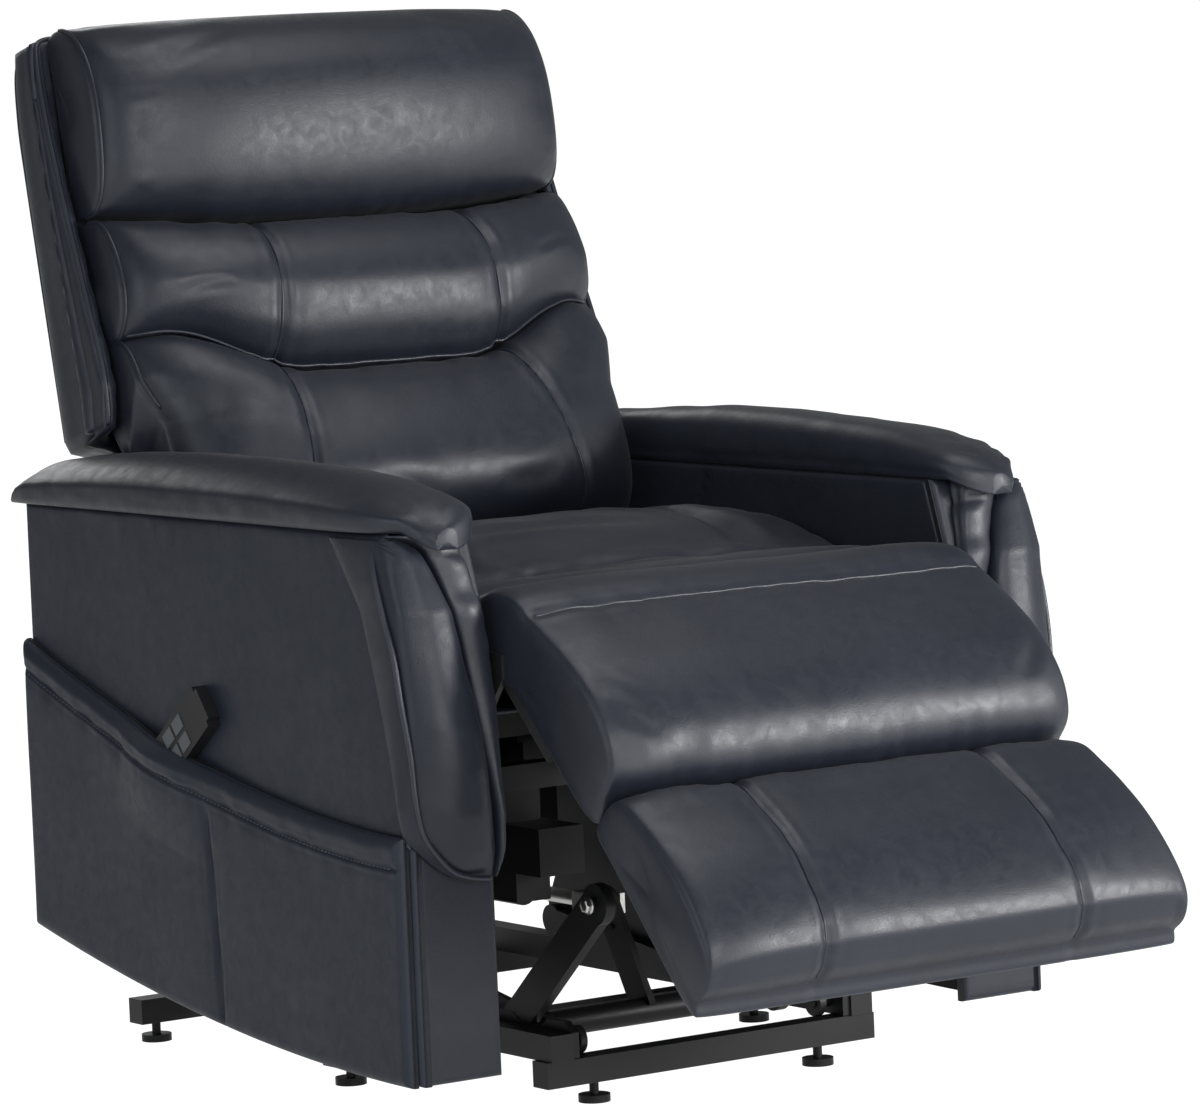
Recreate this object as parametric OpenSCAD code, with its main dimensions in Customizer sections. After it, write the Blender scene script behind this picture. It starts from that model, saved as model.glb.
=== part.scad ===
// Power lift recliner chair with a tilting lift base, a reclining back,
// a swinging leg rest, three linear drives and a corded hand control.
// Millimetres, +Z up, the sitter faces -Y, floor at z = 0.

/* [Overall] */
// Width across the two outer side panels
body_width = 816; // [776:4:880]
// Width of each arm box
arm_width = 108; // [100:1:116]
// Depth of the arm boxes from front to rear
arm_depth = 762; // [750:2:790]
// Height of the arm boxes under their pads
arm_height = 620; // [606:2:640]
// Thickness of the upholstered arm panels
panel = 14; // [12:1:16]

/* [Seat] */
// Height of the seat's front edge above the floor
seat_height = 546; // [536:1:556]
// Depth of the seat cushion
seat_depth = 566; // [540:2:570]

/* [Back] */
// Length of the back from its hinge to the top of the head roll
back_length = 834; // [800:2:880]
// Lean of the back from upright
back_lean = 14.2; // [11:0.2:17]
// Half width of the outer back shell
shell_half = 338; // [330:1:350]

/* [Leg rest] */
// Length of the leg rest below its hinge
leg_length = 462; // [430:2:470]
// Angle of the leg rest below level as it stands
leg_drop = 44.5; // [42:0.5:50]

/* [Lift base] */
// Height and width of the steel tubes
tube = 28; // [24:1:30]
// Wall of the steel tubes
tube_wall = 2; // [1.6:0.2:3]
// Diameter of the leveling glide pads
glide_d = 34; // [28:1:38]
// Diameter of the lift pivot pins
pin_d = 14; // [12:0.5:15]
// Thickness of the lift arms and links
link_t = 8; // [6:0.5:9]

/* [Hand control] */
// Length of the hand control
handset_l = 180; // [170:1:186]
// Width of the hand control
handset_w = 50; // [46:1:54]

/* [Hidden] */

steel = "#1c1d20";
bright = "#b9bcc0";
leather = "#2c3040";
wood = "#b08a5a";
plastic = "#191a1c";
key_grey = "#7c7f84";

half = body_width / 2;
seat_half = half - arm_width;
tube_low = 22;
tube_top = tube_low + tube;
rail_top = tube_top + tube;
rail_x = 195;
rail_in = rail_x - tube / 2;
running = 0.05;
seat_gap = 0.3;
open_play = 3;
lever_play = 7;

// lift linkage, side view points [y, z]
arm_base = [175, 65];
arm_end = [540, 112];
front_base = [78, 65];
front_end = [350, 112];
arm_in = 128;
link_in = 152;
hanger_in = 142;
hanger_t = 6;
crank_h = 110;
lift_line = arm_base[1] + crank_h;

// back and leg rest hinges, side view points [y, z]
back_hinge = [620, 330];
leg_hinge = [-13.7, 480.4];
nose_r = 80;
leg_crank_h = 124;
leg_line = leg_hinge[1] - leg_crank_h;
back_crank_h = 90;
back_line = back_hinge[1] - back_crank_h;
drive_x = 62;

chassis_z = 300;
chassis_top = chassis_z + tube;
board_top = 420;
board_t = 22;
board_low = 384;
front_board_y = 130;
rear_board_y = 575;
spring_z = 408;
cushion_low = board_top + seat_gap;
seat_front = 31;
pad_over = 12;

function back_pt(p) = [
    back_hinge[0] + p[0] * cos(back_lean) + p[1] * sin(back_lean),
    back_hinge[1] - p[0] * sin(back_lean) + p[1] * cos(back_lean)
];
function leg_pt(p) = [
    leg_hinge[0] - p[0] * cos(leg_drop) - p[1] * sin(leg_drop),
    leg_hinge[1] - p[0] * sin(leg_drop) + p[1] * cos(leg_drop)
];

// leg rest sections, [distance down from the hinge, distance out from the board]
leg_split = 220;
bolster_mid = [[60, 0], [leg_split - 4, 0], [leg_split - 2, 40], [leg_split - 12, 74], [176, 96],
    [140, 106], [100, 106], [60, 98], [26, 88], [0, nose_r], [-30, 74], [-56, 57], [-73, 33],
    [-nose_r, 0], [-73, -33], [-56, -57], [-20, -40], [20, -4]];
bolster_edge = [[60, 2], [leg_split - 10, 2], [leg_split - 10, 30], [leg_split - 18, 50], [172, 62],
    [138, 68], [100, 68], [60, 66], [26, 66], [0, 66], [-28, 60], [-50, 44], [-62, 22],
    [-66, 0], [-62, -22], [-46, -44], [-18, -32], [20, -2]];
pad_mid = [[leg_split + 60, 0], [leg_length - 6, 0], [leg_length, 20], [leg_length + 2, 44],
    [leg_length - 8, 66], [leg_length - 30, 80], [leg_length - 70, 90], [leg_length - 115, 92],
    [leg_length - 160, 86], [leg_split + 50, 76], [leg_split + 22, 62], [leg_split + 4, 40],
    [leg_split + 2, 14], [leg_split + 10, 0]];
pad_edge = [[leg_split + 60, 2], [leg_length - 14, 2], [leg_length - 8, 16], [leg_length - 8, 30],
    [leg_length - 16, 42], [leg_length - 34, 50], [leg_length - 70, 56], [leg_length - 115, 58],
    [leg_length - 160, 56], [leg_split + 50, 52], [leg_split + 24, 44], [leg_split + 10, 30],
    [leg_split + 8, 14], [leg_split + 14, 2]];

// back sections, [distance behind the hinge line, distance up from the hinge]
split_low = 408;
split_high = 612;
cushion_back = 18;
head_mid = [[cushion_back, split_high + 70], [cushion_back, split_high + 4], [0, split_high + 4],
    [-70, split_high + 5], [-98, split_high + 12], [-116, split_high + 32], [-127, split_high + 68],
    [-130, split_high + 110], [-124, back_length - 76], [-106, back_length - 42],
    [-78, back_length - 16], [-44, back_length - 2], [-6, back_length], [26, back_length - 10],
    [cushion_back, back_length - 16]];
head_edge = [[cushion_back, split_high + 70], [cushion_back, split_high + 12], [0, split_high + 12],
    [-54, split_high + 13], [-78, split_high + 20], [-94, split_high + 40], [-102, split_high + 72],
    [-104, split_high + 110], [-100, back_length - 84], [-88, back_length - 54],
    [-66, back_length - 34], [-36, back_length - 25], [-4, back_length - 22], [20, back_length - 15],
    [cushion_back, back_length - 18]];
middle_mid = [[cushion_back, split_low + 90], [cushion_back, split_low + 2], [-10, split_low + 2],
    [-84, split_low + 4], [-112, split_low + 12], [-130, split_low + 34], [-138, split_low + 68],
    [-139, split_low + 102], [-132, split_high - 64], [-120, split_high - 32],
    [-100, split_high - 12], [-70, split_high - 4], [0, split_high - 2], [cushion_back, split_high - 2]];
middle_edge = [[cushion_back, split_low + 90], [cushion_back, split_low + 8], [-10, split_low + 8],
    [-66, split_low + 11], [-88, split_low + 19], [-104, split_low + 39], [-111, split_low + 70],
    [-112, split_low + 102], [-107, split_high - 68], [-97, split_high - 39],
    [-80, split_high - 20], [-55, split_high - 12], [0, split_high - 10], [cushion_back, split_high - 10]];
lower_mid = [[cushion_back, 330], [cushion_back, 214], [0, 206], [-60, 202], [-110, 204],
    [-150, 212], [-178, 228], [-194, 252], [-197, 282], [-186, 316], [-172, 350],
    [-150, 380], [-118, split_low - 10], [-80, split_low - 3], [0, split_low - 2],
    [cushion_back, split_low - 2]];
lower_edge = [[cushion_back, 330], [cushion_back, 222], [0, 216], [-50, 214], [-88, 218],
    [-122, 224], [-144, 238], [-156, 260], [-158, 284], [-152, 314], [-141, 343],
    [-124, 371], [-98, split_low - 17], [-62, split_low - 10], [0, split_low - 8],
    [cushion_back, split_low - 8]];

shell_back = 85;
shell_front = cushion_back + 1;
shell_low = 372;
top_round = 12;
shell_high = back_length - 20;

// the standing chair is centred over y = 0
y_front = min([for (p = pad_mid) leg_pt(p)[0]]);
y_rear = back_pt([shell_back - top_round, shell_high])[0];
y_mid = (y_front + y_rear) / 2;

module place(tint) {
    translate([0, -y_mid, 0])
        color(tint)
            children();
}

module box(a, b) {
    translate(a)
        cube([b[0] - a[0], b[1] - a[1], b[2] - a[2]]);
}

// a plate cut to a side view outline, from x0 towards +X
module side_plate(outline, x0, t) {
    translate([x0, 0, 0])
        rotate([90, 0, 90])
            linear_extrude(t)
                polygon(outline);
}

module rod_x(at, x0, x1, d) {
    translate([x0, at[0], at[1]])
        rotate([0, 90, 0])
            cylinder(h = x1 - x0, d = d, $fn = 48);
}

module both_sides() {
    children();
    mirror([1, 0, 0])
        children();
}

// square tube along X or Y, open at its ends
module tube_x(x0, x1, y, z) {
    difference() {
        box([x0, y, z], [x1, y + tube, z + tube]);
        box([x0 - 1, y + tube_wall, z + tube_wall],
            [x1 + 1, y + tube - tube_wall, z + tube - tube_wall]);
    }
}

module tube_y(x, y0, y1, z) {
    difference() {
        box([x, y0, z], [x + tube, y1, z + tube]);
        box([x + tube_wall, y0 - 1, z + tube_wall],
            [x + tube - tube_wall, y1 + 1, z + tube - tube_wall]);
    }
}

// a flat link between two side view points: bar of width w, round bosses of diameter boss
module link(a, b, x0, t, w, boss) {
    reach = norm(b - a);
    turn = atan2(b[1] - a[1], b[0] - a[0]);
    translate([x0, a[0], a[1]])
        rotate([90, 0, 90])
            rotate([0, 0, turn]) {
                translate([0, -w / 2, 0])
                    cube([reach, w, t]);
                for (at = [0, reach])
                    translate([at, 0, 0])
                        cylinder(h = t, d = boss, $fn = 48);
            }
}

// closed skin through a list of equal rings
module loft(rings) {
    n = len(rings);
    m = len(rings[0]);
    points = [for (r = rings) each r];
    sides = [for (i = [0 : n - 2]) for (j = [0 : m - 1]) each [
        [i * m + j, i * m + (j + 1) % m, (i + 1) * m + j],
        [i * m + (j + 1) % m, (i + 1) * m + (j + 1) % m, (i + 1) * m + j]
    ]];
    first = [for (j = [1 : m - 2]) [0, j + 1, j]];
    last = [for (j = [1 : m - 2]) [(n - 1) * m, (n - 1) * m + j, (n - 1) * m + j + 1]];
    polyhedron(points = points, faces = concat(sides, first, last), convexity = 8);
}

function blend(edge, mid, c) = [for (i = [0 : len(mid) - 1]) edge[i] + (mid[i] - edge[i]) * c];
function fullness(u) = sqrt(max(0, 1 - pow(abs(u), 3.2)));
function tuck(x, at) = exp(-pow((abs(x) - at) / 9, 2));
function stations(w) = let (s = [1, 0.985, 0.95, 0.88, 0.78, 0.66])
    concat([for (u = s) -u * w], [-158, -145, -132, -60, 0, 60, 132, 145, 158],
        [for (i = [len(s) - 1 : -1 : 0]) s[i] * w]);
// rings across the width of a cushion: outline swells to the middle, dips at two seams
function cushion_rings(mid, edge, w, depth, narrow, kind) = [
    for (x = stations(w)) [
        for (i = [0 : len(mid) - 1])
            let (
                c = fullness(x / w) - depth * tuck(x, 145),
                p = edge[i] + (mid[i] - edge[i]) * c,
                q = kind == "leg" ? leg_pt(p) : back_pt(p),
                pull = 1 - narrow * max(0, p[1] - split_low) / back_length
            ) [x * (kind == "leg" ? 1 : pull), q[0], q[1]]
    ]
];

// ---- lift base ----
rail_y0 = 50;
rail_y1 = 800;
glide_front = [146, rail_y0 + tube / 2];
cross_half = seat_half - 10;
middle_tube_y = 334;
rear_tube_y = 743;
glide_middle = [cross_half - 22, middle_tube_y + tube / 2];
glide_rear = [cross_half - 22, rear_tube_y + tube / 2];
motor_rear = 700;
motor_d = 44;
rod_d = 16;
yoke_d = 12;
fork = 34;
lever_w = 36;

module base_rail() {
    tube_y(rail_in, rail_y0, rail_y1, tube_top);
    box([rail_in, rail_y0 - 3, tube_top], [rail_in + tube, rail_y0, rail_top]);
    box([rail_in, rail_y1, tube_top], [rail_in + tube, rail_y1 + 3, rail_top]);
}

module base_rail_left() {
    place(steel)
        base_rail();
}

module base_rail_right() {
    place(steel)
        mirror([1, 0, 0])
            base_rail();
}

module cross_tube(x, y) {
    tube_x(-x, x, y, tube_low);
    both_sides()
        box([x, y, tube_low], [x + 4, y + tube, tube_top]);
}

module base_front_tube() {
    place(steel)
        cross_tube(rail_x + tube / 2, rail_y0);
}

module base_middle_tube() {
    place(steel)
        cross_tube(cross_half, middle_tube_y);
}

module base_rear_tube() {
    place(steel)
        cross_tube(cross_half, rear_tube_y);
}

module leveling_glides() {
    place(plastic)
        both_sides()
            for (g = [glide_front, glide_middle, glide_rear])
                translate([g[0], g[1], 0]) {
                    cylinder(h = 8, d = glide_d, $fn = 48);
                    cylinder(h = tube_low, d = 10, $fn = 32);
                }
}

// plates welded to the rails with the four fixed lift pivots and the drive mount
// channel stays that rise from the pivots to below the seat front
stay_end = [0, 218];
stay_in = 168;
stay_t = 12;

module pivot_brackets() {
    plate = [[50, tube_top + 1], [205, tube_top + 1], [205, 78], [190, 88], [160, 88], [145, 80],
        [108, 80], [94, 88], [64, 88], [50, 78]];
    place(steel) {
        both_sides() {
            side_plate(plate, rail_in - 9, 9);
            rod_x(arm_base, arm_in + 1, rail_in - 9, pin_d);
            rod_x(front_base, link_in - 2, rail_in - 9, pin_d);
            difference() {
                link(arm_base, stay_end, stay_in, stay_t, 40, 44);
                link(arm_base + [-30, 26], stay_end + [30, -26], stay_in - 1, stay_t - 4, 30, 28);
            }
            rod_x(stay_end, stay_in, stay_in + stay_t + 6, 16);
        }
        for (x = [-70, 60])
            box([x, rear_tube_y, tube_top], [x + 10, rear_tube_y + tube, lift_line + 24]);
        rod_x([rear_tube_y + tube / 2, lift_line], -60, 60, 10);
    }
}

// drive: outer tube from mouth to tail along Y on a line z, with gear case and motor
module drive_body(x, mouth, tail, z, bore) {
    way = tail > mouth ? 1 : -1;
    translate([x, mouth, z])
        scale([1, way, 1])
            difference() {
                union() {
                    rotate([-90, 0, 0])
                        cylinder(h = abs(tail - mouth) - 20, d = motor_d - 8, $fn = 48);
                    box([-29, abs(tail - mouth) - 110, -26], [29, abs(tail - mouth), 26]);
                    box([-22, abs(tail - mouth) - 110, -60], [22, abs(tail - mouth) - 58, -20]);
                }
                translate([0, -1, 0])
                    rotate([-90, 0, 0])
                        cylinder(h = bore + 1, d = rod_d + 1, $fn = 48);
            }
}

// drive rod: bar from the yoke pin at eye back into the tube, yoke cheeks and cross pin
module drive_bar(x, eye, inner, z) {
    way = inner > eye ? 1 : -1;
    translate([x, eye, z])
        scale([1, way, 1]) {
            translate([0, fork + 10, 0])
                rotate([-90, 0, 0])
                    cylinder(h = abs(inner - eye) - fork - 10, d = rod_d, $fn = 48);
            box([-15, fork, -11], [15, fork + 12, 11]);
            for (side = [-15, 9])
                box([side, -12, -11], [side + 6, fork, 11]);
            rod_x([0, 0], -17, 17, yoke_d);
        }
}

// lever plate from hub to tip with a radial slot for the yoke pin
module slotted_lever(hub, turn, start, near, far, x) {
    w = lever_w;
    translate([x - 4, hub[0], hub[1]])
        rotate([90, 0, 90])
            rotate([0, 0, turn])
                difference() {
                    union() {
                        translate([start, -w / 2, 0])
                            cube([far - start, w, 8]);
                        translate([far, 0, 0])
                            cylinder(h = 8, d = w, $fn = 48);
                    }
                    translate([near, 0, -1]) {
                        cylinder(h = 10, d = yoke_d + 2 * lever_play, $fn = 48);
                        translate([0, -yoke_d / 2 - lever_play, 0])
                            cube([far - near, yoke_d + 2 * lever_play, 10]);
                        translate([far - near, 0, 0])
                            cylinder(h = 10, d = yoke_d + 2 * lever_play, $fn = 48);
                    }
                }
}

lift_turn = 60;
lift_eye = arm_base[0] + crank_h / tan(90 - lift_turn / 2);
lift_lever_turn = 90 - lift_turn / 2;
leg_close = 32;
leg_open = 44;
leg_mid = (leg_open - leg_close) / 2;
leg_swing = (leg_open + leg_close) / 2;
leg_eye = leg_hinge[0] + leg_crank_h * tan(leg_mid);
back_swing = 20;
back_eye = back_hinge[0] + back_crank_h * tan(back_swing);

module lift_drive_motor() {
    place(plastic) {
        drive_body(0, 400, motor_rear, lift_line, 180);
        difference() {
            union() {
                box([-28, motor_rear, lift_line - 9], [28, rear_tube_y + tube / 2, lift_line + 9]);
                rod_x([rear_tube_y + tube / 2, lift_line], -28, 28, 26);
            }
            rod_x([rear_tube_y + tube / 2, lift_line], -29, 29, 10 + 2 * running);
        }
    }
}

module lift_drive_rod() {
    place(bright)
        drive_bar(0, lift_eye, 560, lift_line);
}

module lift_arms() {
    place(steel) {
        both_sides() {
            difference() {
                link(arm_base, arm_end, arm_in, link_t + 2, 26, 34);
                rod_x(arm_base, arm_in - 1, arm_in + 20, pin_d + 2 * running);
            }
            rod_x(arm_end, arm_in, hanger_in + hanger_t + 3, pin_d);
        }
        difference() {
            rod_x(arm_base, -arm_in, arm_in, 28);
            both_sides()
                rod_x(arm_base, arm_in - 12, arm_in + 1, pin_d + 2);
        }
        slotted_lever(arm_base, lift_lever_turn, 0, crank_h - 1,
            crank_h / sin(lift_lever_turn) + 1, 0);
    }
}

module front_links() {
    place(steel)
        both_sides()
            difference() {
                link(front_base, front_end, link_in, link_t, 16, 30);
                rod_x(front_base, link_in - 1, link_in + 20, pin_d + 2 * running);
                rod_x(front_end, link_in - 1, link_in + 20, pin_d + 2 * open_play);
            }
}

// ---- seat chassis ----
chassis_x = seat_half - tube;
chassis_y0 = 80;
chassis_y1 = 700;
cross_y = [300, 510];

module chassis_rail_left() {
    place(steel)
        tube_y(chassis_x, chassis_y0, chassis_y1, chassis_z);
}

module chassis_rail_right() {
    place(steel)
        mirror([1, 0, 0])
            tube_y(chassis_x, chassis_y0, chassis_y1, chassis_z);
}

module chassis_front_tube() {
    place(steel)
        tube_x(-chassis_x, chassis_x, cross_y[0], chassis_z);
}

module chassis_rear_tube() {
    place(steel)
        tube_x(-chassis_x, chassis_x, cross_y[1], chassis_z);
}

// side plates that carry the chassis on the lift arms and front links
module hanger_plates() {
    plate = [[front_end[0] - 22, 94], [arm_end[0] + 22, 94], [arm_end[0] + 24, 130],
        [cross_y[1] + tube, 180], [cross_y[1] + tube, chassis_z], [cross_y[0], chassis_z],
        [cross_y[0], 180], [front_end[0] - 24, 130]];
    place(steel)
        both_sides() {
            difference() {
                side_plate(plate, hanger_in, hanger_t);
                rod_x(arm_end, hanger_in - 1, hanger_in + 20, pin_d + 2 * running);
            }
            rod_x(front_end, hanger_in, link_in + link_t + 4, pin_d);
        }
}

// plates beside the seat front with the leg rest hinge pins, and drive feet
module leg_hinge_plates() {
    plate = [[chassis_y0, chassis_top], [200, chassis_top], [110, 440], leg_hinge + [12, 14],
        leg_hinge + [-14, 10], leg_hinge + [-14, -14]];
    place(steel)
        both_sides() {
            side_plate(plate, seat_half - 6, 6);
            rod_x(leg_hinge, leg_pin_in, seat_half - 6, pin_d);
        }
}

module back_hinge_plates() {
    plate = [[585, chassis_z], [660, chassis_z], [660, chassis_top + 4], [640, back_hinge[1] + 22],
        [600, back_hinge[1] + 22], [585, chassis_top + 4]];
    place(steel)
        both_sides() {
            side_plate(plate, chassis_x - 8, 8);
            rod_x(back_hinge, chassis_x - 26, chassis_x - 8, pin_d);
        }
}

module seat_board() {
    outline = [[front_board_y, chassis_top], [648, chassis_top], [648, 396],
        [620, board_top], [front_board_y, board_top]];
    side_plate(outline, seat_half - 6 - board_t, board_t);
}

module seat_board_left() {
    place(wood)
        seat_board();
}

module seat_board_right() {
    place(wood)
        mirror([1, 0, 0])
            seat_board();
}

module seat_front_board() {
    place(wood)
        box([-chassis_x, front_board_y, board_low], [chassis_x, front_board_y + board_t, board_top]);
}

module seat_rear_board() {
    place(wood)
        box([-chassis_x, rear_board_y, board_low], [chassis_x, rear_board_y + board_t, board_top]);
}

// one flat zigzag spring wire
module zigzag(x, y0, y1, turns, w, wire) {
    step = (y1 - y0) / turns;
    right = [for (i = [0 : turns]) [x + (i % 2 == 0 ? w : -w) + wire / 2, y0 + i * step]];
    left = [for (i = [turns : -1 : 0]) [x + (i % 2 == 0 ? w : -w) - wire / 2, y0 + i * step]];
    translate([0, 0, spring_z])
        linear_extrude(wire)
            polygon(concat(right, left));
}

module seat_springs() {
    place(bright)
        for (x = [-200, -100, 0, 100, 200])
            zigzag(x, front_board_y + board_t, rear_board_y, 14, 22, 4);
}

seat_rear = seat_front + seat_depth;
seat_mid = [[320, cushion_low], [46, cushion_low], [63, 440], [72, 480], [66, 514], [52, 539],
    [40, seat_height + 2], [62, seat_height + 9], [110, seat_height + 6], [150, seat_height + 4],
    [200, seat_height + 14], [260, seat_height + 34], [340, seat_height + 42],
    [420, seat_height + 40], [470, seat_height + 34], [510, seat_height + 18],
    [540, seat_height], [seat_rear - 14, seat_height - 40], [seat_rear, seat_height - 62],
    [seat_rear, cushion_low + 20], [seat_rear - 16, cushion_low]];
seat_edge = [[320, cushion_low], [60, cushion_low], [72, 440], [80, 474], [78, 496], [74, 510],
    [78, seat_height - 34], [92, seat_height - 32], [120, seat_height - 30],
    [155, seat_height - 30], [200, seat_height - 26], [260, seat_height - 16],
    [340, seat_height - 8], [420, seat_height - 10], [470, seat_height - 14],
    [505, seat_height - 26], [530, seat_height - 42],
    [seat_rear - 26, seat_height - 60], [seat_rear - 12, seat_height - 76],
    [seat_rear - 12, cushion_low + 20], [seat_rear - 26, cushion_low]];

module seat_cushion() {
    place(leather)
        loft([for (x = stations(seat_half - 10))
            let (c = fullness(x / (seat_half - 10)))
                [for (q = blend(seat_edge, seat_mid, c)) [x, q[0], q[1]]]]);
}

module leg_drive_motor() {
    place(plastic) {
        drive_body(drive_x, 200, 560, leg_line, 250);
        box([drive_x - 24, 512, chassis_top], [drive_x + 24, 536, leg_line - 26]);
    }
}

module leg_drive_rod() {
    place(bright)
        drive_bar(drive_x, leg_eye, 345, leg_line);
}

module back_drive_motor() {
    place(plastic) {
        drive_body(-drive_x, 500, 230, back_line, 150);
        box([-drive_x - 24, 304, back_line + 26], [-drive_x + 24, 324, chassis_z]);
    }
}

module back_drive_rod() {
    place(bright)
        drive_bar(-drive_x, back_eye, 430, back_line);
}

// ---- arm boxes ----
right_out = half - 6;
right_in = half - 24;
function sill(y) = 55 + 94 * pow(y / arm_depth, 1.9);
function sill_line(y0, y1, n) = [for (i = [0 : n]) let (y = y0 + (y1 - y0) * i / n) [y, sill(y)]];
front_lean = 26;
lean_from = arm_height - 80;
side_outline = concat(sill_line(0, arm_depth, 12),
    [[arm_depth, arm_height], [front_lean, arm_height], [0, lean_from]]);
function front_y(z) = front_lean * max(0, z - lean_from) / 80;
// heights of the rings on the arm front, one of them where the front begins to lean
function front_steps(low, high, below, above) = concat(
    [for (i = [0 : below]) low + (lean_from - low) * i / below],
    [for (i = [1 : above]) lean_from + (high - lean_from) * i / above]);

handset_at = [441, 370];
handset_lean = -52;
handset_t = 16.4;
handset_x = -right_out - 0.3 - handset_t / 2;
lift_out = 150;

module handset_frame() {
    translate([handset_x, handset_at[0], handset_at[1]])
        rotate([-handset_lean, 0, 0])
            children();
}

// slot in the pocket that the hand control slides in
module handset_well() {
    handset_frame()
        box([-handset_t / 2 - 8, -handset_w / 2 - 1.5, -handset_l / 2 - 0.5],
            [handset_t / 2 + 8, handset_w / 2 + 1.5, handset_l / 2 + lift_out + 8]);
}

module side_panel_left() {
    place(leather)
        side_plate(side_outline, half - panel, panel);
}

module side_panel_right() {
    place(leather)
        side_plate(side_outline, -right_out, right_out - right_in);
}

pocket_t = 14.5;
pocket_y = [22, arm_depth - 2];
function hem(y) = 312 + 158 * pow(y / arm_depth, 1.8);

module side_pocket() {
    span = pocket_y[1] - pocket_y[0];
    outline = concat(sill_line(pocket_y[0], pocket_y[1], 12),
        [for (i = [12 : -1 : 0]) let (y = pocket_y[0] + span * i / 12) [y, hem(y)]]);
    place(leather)
        difference() {
            side_plate(outline, -right_out - pocket_t, pocket_t);
            handset_well();
        }
}

module inner_panel() {
    side_plate([[panel, chassis_z], [arm_depth - panel, chassis_z], [arm_depth - panel, arm_height],
        [panel + front_lean, arm_height], [panel, lean_from]], seat_half, panel);
}

module inner_panel_left() {
    place(leather)
        inner_panel();
}

module inner_panel_right() {
    place(leather)
        mirror([1, 0, 0])
            inner_panel();
}

module front_panel(x0, t) {
    side_plate([[0, sill(0)], [panel, sill(0)], [panel, lean_from], [panel + front_lean, arm_height],
        [front_lean, arm_height], [0, lean_from]], x0, t);
}

module front_panel_left() {
    place(leather)
        front_panel(seat_half, half - panel - seat_half);
}

module front_panel_right() {
    place(leather)
        front_panel(-right_in, right_in - seat_half);
}

module rear_panel_left() {
    place(leather)
        box([seat_half, arm_depth - panel, sill(arm_depth)], [half - panel, arm_depth, arm_height]);
}

module rear_panel_right() {
    place(leather)
        box([-right_in, arm_depth - panel, sill(arm_depth)], [-seat_half, arm_depth, arm_height]);
}

module arm_top_left() {
    place(wood)
        box([seat_half + panel, panel + front_lean, arm_height - 16],
            [half - panel, arm_depth - panel, arm_height]);
}

module arm_top_right() {
    place(wood)
        box([-right_in, panel + front_lean, arm_height - 16],
            [-seat_half - panel, arm_depth - panel, arm_height]);
}

// ring of the arm pad at depth y, k runs 0 at the tips to 1, b is the outer edge, h the height
function pad_ring(y, k, b, h) = let (
    a = seat_half + 1 + 6 * (1 - k),
    z = arm_height + seat_gap,
    m = (a + b) / 2,
    w = b - a,
    t = h * (0.5 + 0.5 * k)
) [[m, z], [b - 0.07 * w, z], [b - 2, z + t * 0.12], [b, z + t * 0.3], [b - 1, z + t * 0.5],
    [b - 0.06 * w, z + t * 0.74], [b - 0.17 * w, z + t * 0.92], [m + 0.13 * w, z + t],
    [m - 0.13 * w, z + t], [a + 0.15 * w, z + t * 0.92], [a + 0.05 * w, z + t * 0.74],
    [a, z + t * 0.5], [a, z + t * 0.25], [a + 0.04 * w, z]];

// height over the arm box and cut-in of the outer edge along the pad
pad_height = [[-24, 8], [-21, 14], [-14, 20], [-2, 25], [14, 30], [34, 36], [60, 43], [100, 50],
    [150, 54], [220, 58], [340, 62], [460, 62], [580, 58], [680, 52], [738, 46], [758, 38], [766, 26],
    [769, 14]];
pad_cut = [[-24, 60], [-14, 50], [-2, 42], [14, 30], [34, 16], [60, 6], [100, 0]];

module arm_pad() {
    first = pad_height[0][0];
    span = pad_height[len(pad_height) - 1][0] - first;
    loft([for (row = pad_height)
        let (
            u = (row[0] - first) / span,
            k = min(1, sqrt(max(0, min(u, 1 - u)) * 22)),
            edge = half + pad_over - max(lookup(row[0], pad_cut), 6 * (1 - k))
        ) [for (q = pad_ring(row[0], k, edge, row[1])) [q[0], row[0] * arm_depth / 762, q[1]]]]);
}

module arm_pad_left() {
    place(leather)
        arm_pad();
}

module arm_pad_right() {
    place(leather)
        mirror([1, 0, 0])
            arm_pad();
}

// padded roll round the outer front corner, fullest two thirds of the way down
module arm_bumper(face) {
    low = 264;
    high = arm_height - 6;
    zs = front_steps(low, high, 12, 4);
    loft([for (z = zs)
        let (
            u = (z - low) / (high - low),
            k = min(1, sqrt(max(0.02, min(u, 1 - u)) * 8)),
            inner = seat_half + 6 + 51 * u,
            side = 6 + 92 * pow(u, 1.6),
            out = 3 + 8.5 * k,
            y0 = front_y(z) - seat_gap,
            t = lookup(z, [[264, 6], [276, 18], [290, 26], [330, 38], [380, 44], [420, 45],
                [470, 37], [526, 27], [570, 24], [600, 21], [614, 14]])
        ) [[face + seat_gap, y0, z], [face + seat_gap, y0 + side, z],
            [face + seat_gap + 0.5 * out, y0 + side * 0.96, z], [face + 0.85 * out, y0 + side * 0.7, z],
            [face + out, y0 + side * 0.35, z], [face + 0.9 * out, y0 - 0.12 * t, z],
            [face + 0.5 * out, y0 - 0.5 * t, z], [face - 8, y0 - 0.8 * t, z],
            [face - 22, y0 - 0.96 * t, z], [(face + inner) / 2, y0 - t, z],
            [inner + 12, y0 - 0.88 * t, z], [inner + 2, y0 - 0.55 * t, z], [inner, y0, z]]]);
}

module arm_bumper_left() {
    place(leather)
        arm_bumper(half);
}

module arm_bumper_right() {
    place(leather)
        mirror([1, 0, 0])
            arm_bumper(right_out);
}

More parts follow.
